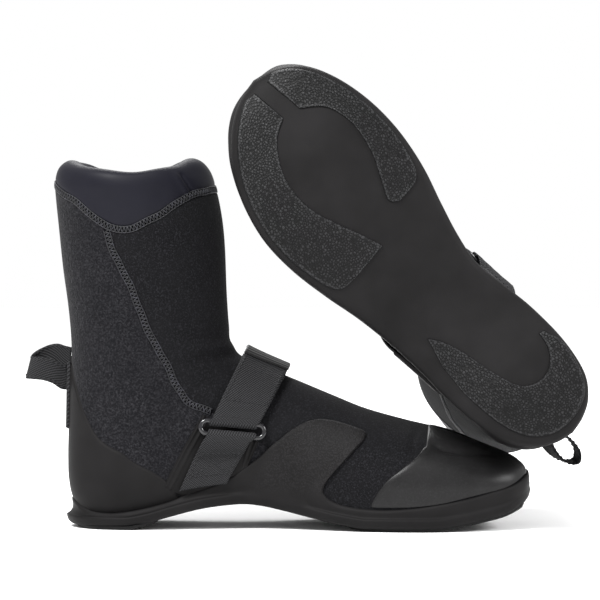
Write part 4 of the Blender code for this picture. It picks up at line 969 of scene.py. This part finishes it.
def makeSole(boot, tree):
    # Cup sole as one closed grid: down the inner side's columns to the middle line, then up the outer side's, and
    # over the roof inside the sock.
    innerSide = soleSide(soleEdgeInner, soleOutline[:sole["toeTip"] + 1])
    outerSide = soleSide(soleEdgeOuter, (soleOutline[sole["toeTip"]:] + soleOutline[:1])[::-1])
    share = np.linspace(0, 1, sole["stations"])
    innerAt = np.interp(share, np.linspace(0, 1, 5), (0, 0.2, 0.5, 0.78, 1))
    # both sides' stations are paired by where they stand along the sole
    steps = np.linspace(0, 1, sole["edgeSteps"])
    rising = np.arange(len(steps)) * 1e-7   # so that no two feet are equal
    outerAt = np.interp(np.interp(innerAt, steps, innerSide[1][:, 0]), outerSide[1][:, 0] + rising, steps)
    insideA, outsideA, axisA, wingA = soleColumns(tree, *innerSide, innerAt)
    insideB, outsideB, axisB, _ = soleColumns(tree, *outerSide, outerAt)
    for k in (0, -1):
        insideA[:, k] = insideB[:, k] = (insideA[:, k] + insideB[:, k]) / 2
        outsideA[:, k] = outsideB[:, k] = (outsideA[:, k] + outsideB[:, k]) / 2
    middle = (axisA + axisB) / 2
    bottoms = lastPoint(np.linspace(0, 18, 300), math.pi)
    order = np.argsort(bottoms[:, 0])
    roof = np.column_stack([middle, np.interp(middle[:, 0], bottoms[order, 0], bottoms[order, 2]) + 1.5])[None]
    floor = np.column_stack([middle, underside(middle[:, 0]) + sole["tread"]])[None]
    grid = np.concatenate([roof, insideB, outsideB, floor, outsideA[::-1], insideA[::-1], roof])
    # the mark of the dotted wing, on the inner side only
    marks = np.zeros(grid.shape[:2])
    start = len(roof) + len(insideB) + len(outsideB) + len(floor)
    marks[start:start + len(wingA)] = wingA[::-1]
    rows, count = grid.shape[:2]
    addPiece(boot, "cup_sole", grid.reshape(-1, 3), gridFaces(rows, count), "sole", "boot", ("outsole",),
             marks={"wing": marks}, weld=True)


# Each pad between its inner and its outer edge, x and y, both from the same end.
treadPads = {
    "tread_heel": (((104, 21), (96, 15.5), (81, 10.6), (62, 7), (47, 2.6), (40, -4), (38, -13), (42, -22),
                    (50, -27.5), (59, -29.5)),
                   ((84, 26.8), (60, 26.5), (36, 24), (20, 17.5), (11.5, 8), (8.6, -3), (10.5, -16), (17, -26),
                    (28, -31.5), (44, -34.8), (58, -34))),
    "tread_toe_inner": (((259, -19), (250, -30), (240, -34.5), (225.5, -35.5), (207, -31), (190, -22.5),
                         (181, -19), (175.5, -24)),
                        ((285, -16.5), (284, -24.5), (277, -33.5), (266, -40.5), (250, -46), (228, -49),
                         (205, -48.3), (184, -43), (176, -34))),
    "tread_toe_outer": (((261.5, -8.5), (254, 4), (240, 14), (225, 18.5), (209, 18), (192, 12.4), (177, 6.3),
                         (163, 1.5)),
                        ((285.5, -7), (283, 1.5), (277, 11.5), (267.5, 22.5), (253, 33.5), (236, 41.8),
                         (215, 46.8), (190, 46.8), (166, 40.5), (160.5, 27))),
}
pebble = {"reach": 2.2, "grid": 0.47, "edgeSteps": 400, "size": 1.7, "height": 0.45, "edge": 0.9, "sink": 0.5}


def makePads(boot):
    # A pad is ruled between its two edges: inner + share (outer - inner). It stands out from the sole, over a rounded
    # edge, by tread - height x (1 - pebble). A pebble is 0 midway between two scattered points and 1 near one.
    steps = pebble["edgeSteps"]
    fromEnds = np.minimum(np.arange(steps), steps - 1 - np.arange(steps))
    for name, (innerEdge, outerEdge) in treadPads.items():
        edges = [splineRows(edge, np.linspace(0, len(edge) - 1, steps)) for edge in (innerEdge, outerEdge)]
        # the outer edge is drawn out to the sole's rim, except at its ends
        away = unit(np.gradient(edges[1], axis=0))[:, ::-1] * (1, -1)
        away *= np.sign(np.sum(away * (edges[1] - edges[0]), axis=1))[:, None]
        edges[1] = edges[1] + away * pebble["reach"] * ease(fromEnds / 40)[:, None]
        length = np.mean([lengthsAlong(edge)[-1] for edge in edges])
        width = np.linalg.norm(edges[0] - edges[1], axis=1).max()
        rows, columns = int(length / pebble["grid"]), int(width / pebble["grid"])
        inner, outer = (even(edge, rows) for edge in edges)
        share = np.linspace(0, 1, columns)
        share = 0.35 * (0.5 - 0.5 * np.cos(share * math.pi)) + 0.65 * share   # a little closer at the edges
        flat = inner[:, None] + (outer - inner)[:, None] * share[:, None]
        x, y = flat[..., 0], flat[..., 1]
        ends = np.minimum(lengthsAlong(flat[:, columns // 2]), lengthsAlong(flat[::-1, columns // 2])[::-1])
        across = np.linalg.norm(outer - inner, axis=1)[:, None]
        away = np.minimum(np.minimum(share, 1 - share) * across, ends[:, None])
        nearest, second, chance = cells(x, y, pebble["size"])
        nearFine, secondFine, _ = cells(x + 40, y + 17, pebble["size"] * 0.45)
        bumpHeight = ease((second - nearest) * 2.1) * (0.65 + 0.35 * chance)
        bumpHeight = bumpHeight + 0.25 * ease((secondFine - nearFine) * 2)
        inside = ease(away / pebble["edge"])
        # the rim stands a little proud of the pebbles
        rim = bell(away - 1.5, 0.7)
        top = sole["tread"] - pebble["height"] * (1 - np.clip(bumpHeight, 0, 1)) * ease((away - 1.2) / 1.6)
        z = underside(x) + sole["tread"] - (top * inside - pebble["sink"] * (1 - inside))
        outerSheet = np.stack([x, y, z], axis=-1)
        innerSheet = np.stack([x, y, underside(x) + sole["tread"] + pebble["sink"] + 0.4], axis=-1)
        crest = np.clip(bumpHeight, 0, 1) * inside * 0.9 + rim * 0.4
        addWall(boot, name.replace("tread", "tread_pad"), outerSheet, innerSheet, "tread", "boot", (name,),
                marks={"crest": np.concatenate([crest, crest])})


# Edges of the rubber laid on the sock, x and z in the side view.
heelTop = ((3.2, 106.7), (4.5, 99), (9.8, 80), (19.4, 60), (36, 48), (52.5, 37.5), (70, 27.5))
heelFoot = ((2.4, 14), (9, 8), (17.5, 5.5), (30.6, 6), (48, 9.5), (60, 13), (72, 18))
toeRear = ((191, 17), (197.5, 27.8), (209.4, 38.5), (219, 46), (226, 54))
anchorTop = ((86.5, 71.5), (98, 66), (110, 60), (121, 54.5))
anchorBottom = ((62, 27), (79, 20.5), (97, 26.5), (114.5, 38.5))
laid = {"thickness": 1.0, "edge": 1.9, "lift": 0.1, "under": -0.6, "rows": 90}
toeRand = {"rows": 120, "columns": 170, "first": 0.9, "thickness": 0.5, "edge": 4.5}
anchorRims = ((0.75, 1.4, 0.7), (0.55, 4.6, 0.8))   # height, distance from the edge, width
allSides = ("firstRow", "lastRow", "firstColumn", "lastColumn")


def ruledSheet(top, bottom, rows, columns):
    # sections and angles ruled between two side-view lines: bottom + rise (top - bottom)
    shares = np.linspace(0, 1, columns)
    ends = [splineRows(np.array([sidePlace(x, z) for x, z in line]), shares * (len(line) - 1))
            for line in (bottom, top)]
    rise = np.linspace(0, 1, rows)[:, None, None]
    grid = ends[0] + rise * (ends[1] - ends[0])
    return grid[..., 0], grid[..., 1]


def edgeDistance(spots, sides):
    # shortest way along the grid to the named edges of the sheet
    away = np.full(spots.shape[:2], 99.0)
    rowSteps = np.linalg.norm(np.diff(spots, axis=0), axis=-1)
    columnSteps = np.linalg.norm(np.diff(spots, axis=1), axis=-1)
    fromFirstRow = np.vstack([np.zeros(spots.shape[1]), np.cumsum(rowSteps, axis=0)])
    fromFirstColumn = np.hstack([np.zeros((len(spots), 1)), np.cumsum(columnSteps, axis=1)])
    measured = {"firstRow": fromFirstRow, "lastRow": fromFirstRow[-1] - fromFirstRow,
                "firstColumn": fromFirstColumn, "lastColumn": fromFirstColumn[:, -1:] - fromFirstColumn}
    for side in sides:
        away = np.minimum(away, measured[side])
    return away


def laidSheet(boot, name, sections, angles, finish, replaced, sides, thickness=laid["thickness"], extra=0.0,
              edge=laid["edge"]):
    # Sheet moulded on the sock: folded last + (lift + thickness x root of how far in from its named edges + extra)
    # along the normal.
    away = edgeDistance(lastPoint(sections, angles), sides)
    height = laid["lift"] + thickness * np.sqrt(ease(away / edge)) + extra
    outer = skin(sections, angles, height)
    inner = skin(sections, angles, np.full(height.shape, laid["under"]))
    return addWall(boot, name, outer, inner, finish, "boot", replaced)


def makeHeel(boot):
    # one side ruled between its edges, and the same mirrored over the back line
    sections, angles = ruledSheet(heelTop, heelFoot, laid["rows"], laid["rows"])
    angles[:, 0] = math.pi
    sections = np.hstack([sections[:, ::-1], sections[:, 1:]])
    angles = np.hstack([angles[:, ::-1], 2 * math.pi - angles[:, 1:]])
    laidSheet(boot, "heel_counter", sections, angles, "heel", ("heel_overlay",), allSides[1:])


def makeToe(boot):
    # Rubber over the toes from the sole's edge on one side to the other's; the last row is found on the rear line by
    # repeating the step from section to angle.
    foot = sideLine([(x, z + 1.0) for _, x, z in soleEdgeOuter if 185 < x < 288], 30)
    rear = sideLine(toeRear, 20)[:, ::-1]
    rear = np.vstack([rear, [(0.0, 5.45)]])
    rear = splineRows(rear[::4], np.linspace(0, len(rear[::4]) - 1, 200))
    shares = np.linspace(-1, 1, toeRand["columns"])
    last = np.full(len(shares), 6.0)
    for _ in range(12):
        last = readLine(rear, np.abs(shares) * readLine(foot, last))
    sections = toeRand["first"] + np.linspace(0, 1, toeRand["rows"])[:, None] * (last - toeRand["first"])
    angles = shares * readLine(foot, sections)
    laidSheet(boot, "toe_rand", sections, angles, "toe", ("toe_cap",), ("lastRow",), toeRand["thickness"],
              edge=toeRand["edge"])


def makeAnchorBase(boot):
    # rubber patch with two raised rims along each of its sides
    sections, angles = ruledSheet(anchorTop, anchorBottom, laid["rows"], laid["rows"])
    away = edgeDistance(lastPoint(sections, angles), ("firstColumn", "lastColumn"))
    rims = sum(height * bell(away - middle, width) for height, middle, width in anchorRims)
    laidSheet(boot, "anchor_patch", sections, -angles, "heel", ("anchor_base",), allSides, extra=rims)


strapAngles = np.linspace(-2.6, 2.6, 1041)
strapSteps = lengthsAlong(lastPoint(strapSize["section"], strapAngles))
strapSteps -= np.interp(0, strapAngles, strapSteps)
ringDistance = float(np.interp(-sidePlace(*ringSize["centre"])[1], strapAngles, strapSteps))
barUp = ringDistance + ringSize["depth"] / 2
barDown = ringDistance - ringSize["depth"] / 2
wrapRadius = ringSize["wire"] / 2 + ringSize["barPlay"]
barTop = ringLift + wrapRadius
patchStart = barUp + 12
lifts = {"strap": 1.2, "loopPatch": 2.8, "hookPatch": 3.9, "flap": 5.0, "tab": 6.6, "anchor": 2.8}


def strapPlace(distances, offsets):
    # sections and angles of the points at these distances along the strap and offsets to the heel side
    angles = np.interp(distances, strapSteps, strapAngles)
    middle = 44
    beside = strapSize["section"] + np.linspace(-2.2, 2.2, 2 * middle + 1)
    points = lastPoint(beside[None], angles[:, None])
    walked = np.concatenate([np.zeros((len(angles), 1)),
                             np.cumsum(np.linalg.norm(np.diff(points, axis=1), axis=-1), axis=1)], axis=1)
    walked -= walked[:, middle:middle + 1]
    sections = np.array([np.interp(offsets, row, beside) for row in walked])
    return sections, np.broadcast_to(angles[:, None], sections.shape)


def strapSpots(distances, offsets, lift):
    # last + normal x lift at these places of the strap, and the normals
    sections, angles = strapPlace(np.asarray(distances, float), np.asarray(offsets, float))
    normal = lastNormal(sections, angles)
    lift = np.broadcast_to(np.asarray(lift, float), (len(distances),))[:, None, None]
    return lastPoint(sections, angles) + normal * lift, normal


def barSpots(which, first, last, offsets, steps):
    # Webbing round one bar of the ring: centre + radius (cos a . up + sin a . out) + offset along the bar, by the
    # turn in degrees from the upward to the outward direction.
    centre = ringAt + ringUp * which * ringSize["depth"] / 2
    turn = np.radians(np.linspace(first, last, steps))[:, None]
    spoke = ringUp * np.cos(turn) + ringOut * np.sin(turn)
    spots = centre + spoke[:, None] * wrapRadius + ringBars * np.asarray(offsets)[None, :, None]
    return spots, np.broadcast_to(spoke[:, None], spots.shape)


def webGrid(width, columns=25):
    # offsets across a web, closer together at its edges
    return width / 2 * np.sin(np.linspace(0.5, -0.5, columns) * math.pi)


def addWeb(boot, name, spots, normal, thickness, offsets, finish, body, replaced):
    # A web between its lower face and its upper one: spot + normal x (thickness, less at the edges, + fine ribs).
    walked = lengthsAlong(spots[:, len(offsets) // 2])
    edge = np.minimum((offsets.max() - np.abs(offsets))[None], np.minimum(walked, walked[-1] - walked)[:, None])
    rise = thickness * (0.3 + 0.7 * np.sqrt(ease(edge / 0.9)))
    ribs = 0.06 * np.sin(offsets * 2 * math.pi / 1.5)[None] * ease(edge / 1.5)
    outer = spots + normal * (rise + ribs)[..., None]
    uv = np.stack(np.broadcast_arrays(walked[:, None], offsets[None]), axis=-1)
    return addWall(boot, name, outer, spots, finish, body, replaced, uv=np.concatenate([uv, uv]).reshape(-1, 2))


def outerDistance(z):
    # how far along the strap this height is on the outer side
    low = (strapAngles > 0.5) & (strapAngles < 2.2)
    points = lastPoint(strapSize["section"], strapAngles[low])
    return float(np.interp(-z, -points[:, 2], strapSteps[low]))


def stitchRow(boot, name, path, up, body):
    return addPiece(boot, name, *dashes(path, up), "darkThread", body)


def makeStrap(boot):
    # webbing over the instep, the rubber over its outer end and the loop fastener on it
    offsets = webGrid(strapSize["width"])
    end = outerDistance(42.0)
    thickness = strapSize["thickness"]
    distances = np.linspace(barUp + 2.6, end, 130)
    spots, normal = strapSpots(distances, offsets, lifts["strap"])
    addWeb(boot, "strap_web", spots, normal, thickness, offsets, "webbing", "boot", ("strap",))
    wide = webGrid(strapSize["width"] + 4)
    spots, normal = strapSpots(np.linspace(end + 0.6, outerDistance(31.0), 24), wide, lifts["strap"])
    addWeb(boot, "strap_end_cover", spots, normal, 2.2, wide, "heel", "boot", ("strap_anchor_outer",))
    patch = webGrid(strapSize["width"] - 4)
    spots, normal = strapSpots(np.linspace(patchStart, strapSize["end"], 90), patch, lifts["loopPatch"])
    addWeb(boot, "loop_fastener", spots, normal, strapSize["fastener"], patch, "fastener", "boot", ("loop_patch",))
    makeFlap(boot, offsets)
    makeAnchor(boot, offsets)
    makeTab(boot)
    makeRing(boot)


def flapHeight(distances):
    # over the last: from the top of the ring's bar, easing down to the fasteners
    start = barUp + flap["start"]
    return barTop + (lifts["flap"] - barTop) * ease((distances - start) / (patchStart - 2.9 - start))


flap = {"start": 1.6, "rows": 120, "stitches": (3.4, 14.0)}


def makeFlap(boot, offsets):
    # It comes round the ring's upper bar and lies down on the fasteners.
    half = strapSize["width"] / 2
    turned, turnedOut = barSpots(1, 200, 95, offsets, 26)
    distances = np.linspace(barUp + flap["start"], strapSize["end"], flap["rows"])
    spots, normal = strapSpots(distances, offsets, flapHeight(distances))
    spots, normal = np.concatenate([turned, spots]), np.concatenate([turnedOut, normal])
    addWeb(boot, "strap_free_end", spots, normal, strapSize["thickness"], offsets, "webbing", "strap_flap",
           ("strap_flap",))
    hook = webGrid(strapSize["width"] - 6)
    under, underOut = strapSpots(np.linspace(patchStart, strapSize["end"] - 2, 90), hook, lifts["hookPatch"])
    addWeb(boot, "hook_fastener", under, underOut, strapSize["fastener"], hook, "fastener", "strap_flap",
           ("hook_patch",))
    middle = np.linspace(-half + 1.6, half - 1.6, 60)
    for count, fromBar in enumerate(flap["stitches"]):
        distance = barUp + fromBar
        row, out = strapSpots([distance], middle, flapHeight(distance) + strapSize["thickness"] + 0.1)
        stitchRow(boot, f"flap_stitch_{count + 1}", row[0], out[0], "strap_flap")
    edge = distances[(distances > barUp + 14) & (distances < strapSize["end"] - strapSize["tab"])]
    for count, side in enumerate((-1, 1)):
        row, out = strapSpots(edge, [side * (half - 1.8)], lifts["flap"] + strapSize["thickness"] + 0.05)
        stitchRow(boot, f"flap_edge_stitch_{count + 1}", row[:, 0], out[:, 0], "strap_flap")


def anchorHeight(fromBar):
    # over the last: flat on its patch, then a smooth rise to the top of the ring's lower bar
    flat, top = lifts["anchor"], barTop - 0.4
    heights = np.array((flat, flat, flat, (flat + top) / 2 + 0.4, top))
    return splineRows(heights[:, None], np.interp(fromBar, (-35, -22, -15, -9, -4), range(5)))[:, 0]


anchorBox = {"near": -11.5, "far": -26.5, "inset": 2.2}   # its box stitch, from the ring's lower bar


def makeAnchor(boot, offsets):
    # webbing from its patch up to the ring's lower bar and in round it, with a box stitch and its cross
    fromBar = np.linspace(-35, -4, 100)
    spots, normal = strapSpots(barDown + fromBar, offsets, anchorHeight(fromBar))
    turned, turnedOut = barSpots(-1, 95, -60, offsets, 30)
    addWeb(boot, "anchor_web", np.concatenate([spots, turned]), np.concatenate([normal, turnedOut]),
           strapSize["thickness"], offsets, "webbing", "boot", ("anchor_webbing",))
    half = strapSize["width"] / 2 - anchorBox["inset"]
    nearLeft, nearRight, farRight, farLeft = [(anchorBox[row], side) for row, side in
                                              (("near", -half), ("near", half), ("far", half), ("far", -half))]
    lines = ((nearLeft, nearRight, farRight, farLeft, nearLeft), (nearLeft, farRight), (nearRight, farLeft))
    for count, line in enumerate(lines):
        route = even(np.array(line), 160)
        height = anchorHeight(route[:, 0])
        sections, angles = strapPlace(barDown + route[:, 0], np.linspace(-16, 16, 65))
        across = np.array([np.interp(offset, np.linspace(-16, 16, 65), row)
                           for offset, row in zip(route[:, 1], sections)])
        normal = lastNormal(across, angles[:, 0])
        path = lastPoint(across, angles[:, 0]) + normal * (height + strapSize["thickness"] + 0.05)[:, None]
        stitchRow(boot, f"anchor_stitch_{count + 1}", path, normal, "boot")


def makeTab(boot):
    # Moulded pull tab: spot + normal x (thickness + band at its end + ribs as a cosine of the distance from it).
    offsets = webGrid(strapSize["width"] + 1, 31)
    distances = np.linspace(strapSize["end"] - strapSize["tab"], strapSize["end"], 60)
    spots, normal = strapSpots(distances, offsets, lifts["tab"])
    fromEnd = strapSize["end"] - distances
    band = ease((4.4 - fromEnd) / 0.8)
    grip = 0.35 * (0.5 + 0.5 * np.cos((fromEnd - 6) * 2 * math.pi / 2.6)) * ease(fromEnd - 5) * ease(13 - fromEnd)
    edge = np.minimum((offsets.max() - np.abs(offsets))[None], np.minimum(fromEnd, fromEnd[::-1])[:, None])
    rise = (1.0 + 0.55 * band + grip)[:, None] * np.sqrt(ease((edge + 0.25) / 1.1))
    addWall(boot, "strap_pull_tab", spots + normal * rise[..., None], spots, "toe", "strap_flap", ("pull_tab",))


def makeRing(boot):
    # A racetrack: two straight bars, joined at each end by centre + depth / 2 (cos a . bars + sin a . up).
    half = strapSize["width"] / 2 + ringSize["play"]
    turn = np.radians(np.linspace(90, -90, 40))
    radius = ringSize["depth"] / 2
    spots = [ringAt + end * (ringBars * (half + radius * np.cos(turn))[:, None]
                             + ringUp * (radius * np.sin(turn))[:, None]) for end in (1, -1)]
    path = even(np.vstack([*spots, spots[0][:1]]), 241)[:-1]
    points, faces = tube(path, ringOut, ringSize["wire"] / 2, 20, closed=True, flatten=0.95)
    addPiece(boot, "strap_ring", points, faces, "ring", "ring", ("ring",))


pullLoop = {"spread": 13.0, "reach": 23.0, "width": 14.5, "web": 1.2, "start": (-2.2, 97.0), "steps": 170,
            "base": (17.85, 19.62), "baseRows": 60, "baseColumns": 30}


def makePullLoop(boot):
    # Webbing folded behind the heel: two strands that start beside each other and meet at the fold.
    # The route is a spline; web = route + offset x lean, the direction across the webbing, which twists along it.
    x, z = pullLoop["start"]
    side, steps = pullLoop["spread"] / 2, pullLoop["steps"]
    strand = ((x + 4.6, 3.6 - side, z - 4.6), (x, 2 - side, z - 4), (x - 5, 0.5 - side, z - 0.5),
              (x - 11, -side, z + 1.5), (x - 17.5, 1.5 - side, z + 2))
    fold = (x - pullLoop["reach"] + 1.6, 0, z + 2.5)
    back = ((x - 17.5, side - 1.5, z + 6), (x - 11, side, z + 9), (x - 5, side - 0.5, z + 10),
            (x, side - 2, z + 9), (x + 4.6, side - 3.6, z + 8.4))
    route = splineRows((*strand, fold, *back), np.linspace(0, 10, steps))
    lean = unit(splineRows(((0.15, 0, 1), (0.25, 0, 0.97), (0.05, 0.5, 0.86)), np.linspace(0, 2, steps)))
    offsets = webGrid(pullLoop["width"], 21)
    spots = route[:, None] + lean[:, None] * offsets[None, :, None]
    out = unit(np.cross(np.gradient(route, axis=0), lean))
    normal = np.broadcast_to(out[:, None], spots.shape)
    addWeb(boot, "pull_loop_web", spots - normal * pullLoop["web"] / 2, normal, pullLoop["web"], offsets, "webbing",
           "sewn_loop", ("pull_loop",))
    for count, across in enumerate((-1, 1)):
        line = route + lean * across * (pullLoop["width"] / 2 - 1.6)
        for face in (-1, 1):
            rise = out * face
            stitchRow(boot, f"pull_loop_stitch_{count * 2 + (face + 1) // 2 + 1}",
                      line + rise * (pullLoop["web"] / 2 + 0.03), rise, "sewn_loop")
    # the webbing sewn down under it
    rows, columns = pullLoop["baseRows"], pullLoop["baseColumns"]
    sections, angles = np.broadcast_arrays(np.linspace(*pullLoop["base"], rows)[:, None],
                                           math.pi + np.linspace(0.2, -0.2, columns))
    spots, normal = lastPoint(sections, angles), lastNormal(sections, angles)
    edge = edgeDistance(spots, allSides)
    outer = spots + normal * (1.6 + 1.3 * np.sqrt(ease(edge / 0.8)))[..., None]
    uv = np.stack(np.broadcast_arrays(np.linspace(0, 42, rows)[:, None], np.linspace(0, 14, columns)), axis=-1)
    addWall(boot, "pull_loop_base", outer, spots + normal * 1.0, "webbing", "boot", ("pull_loop_patch",),
            uv=np.concatenate([uv, uv]).reshape(-1, 2))


tree = sockTree()
for side in ("left", "right"):
    boot = bootPlace(side)
    print(f"{side} boot placed, off by {boot['miss']:.3f} mm")
    makeSock(boot)
    makeCuff(boot)
    makeSeams(boot)
    print(f"{side} sock sewn")
    makeSole(boot, tree)
    makePads(boot)
    print(f"{side} sole moulded")
    makeHeel(boot)
    makeToe(boot)
    makeAnchorBase(boot)
    makeStrap(boot)
    makePullLoop(boot)
    print(f"{side} strap and loop fitted")
    makeFootbed(boot)
    divider = frame["nodes"][f"{side}_toe_divider"]
    divider.data.materials.clear()
    divider.data.materials.append(finishes["lining"]["material"])


def makeFloor():
    finish = Finish("pale_floor", Roughness=0.85, **{"Specular_IOR_Level": 0.1})
    cloud = finish.noise(400, 2)
    finish.feed(Base_Color=finish.mix(cloud, (0.96, 0.96, 0.96), (0.98, 0.98, 0.98)))
    mesh = bpy.data.meshes.new("floor")
    mesh.from_pydata([(-4, -4, -0.0004), (4, -4, -0.0004), (4, 4, -0.0004), (-4, 4, -0.0004)], [], [(0, 1, 2, 3)])
    mesh.materials.append(finish.material)
    floor = bpy.data.objects.new("floor", mesh)
    bpy.context.scene.collection.objects.link(floor)


def addLight(name, place, target, size, power):
    lamp = bpy.data.lights.new(name, "AREA")
    lamp.shape, lamp.size, lamp.energy = "DISK", size, power
    made = bpy.data.objects.new(name, lamp)
    made.location = place
    made.rotation_euler = (Vector(target) - Vector(place)).to_track_quat("-Z", "Y").to_euler()
    bpy.context.scene.collection.objects.link(made)


lights = {   # place, target, size, watts
    "key": ((-0.7, -1.0, 1.6), (0, 0, 0.1), 0.7, 60),
    "side": ((1.4, -0.6, 0.9), (0, 0, 0.12), 0.6, 22),
    "rim": ((-0.2, 1.2, 1.4), (0, 0, 0.15), 0.8, 14),
}


def makeStudio():
    world = bpy.data.worlds.new("studio")
    world.use_nodes = True
    world.node_tree.nodes["Background"].inputs["Color"].default_value = (1, 1, 1, 1)
    world.node_tree.nodes["Background"].inputs["Strength"].default_value = 1.0
    bpy.context.scene.world = world
    for name, settings in lights.items():
        addLight(name, *settings)
    bpy.context.scene.view_settings.view_transform = "Standard"


view = {"target": (-0.0032, 0.0, 0.144), "distance": 2.14, "elevation": 1.8, "across": 0.375}


def makeCamera():
    # level with the boots and far off, so that a long lens keeps their outlines flat
    data = bpy.data.cameras.new("camera")
    data.sensor_width = 36
    data.lens = 36 * (view["distance"] + 0.06) / view["across"]
    camera = bpy.data.objects.new("camera", data)
    lift = math.radians(view["elevation"])
    x, y, z = view["target"]
    camera.location = (x, y - (view["distance"] + 0.12) * math.cos(lift), z + view["distance"] * math.sin(lift))
    camera.rotation_euler = (math.pi / 2 - lift, 0, 0)
    bpy.context.scene.collection.objects.link(camera)
    bpy.context.scene.camera = camera


makeFloor()
makeStudio()
makeCamera()
print("studio set")
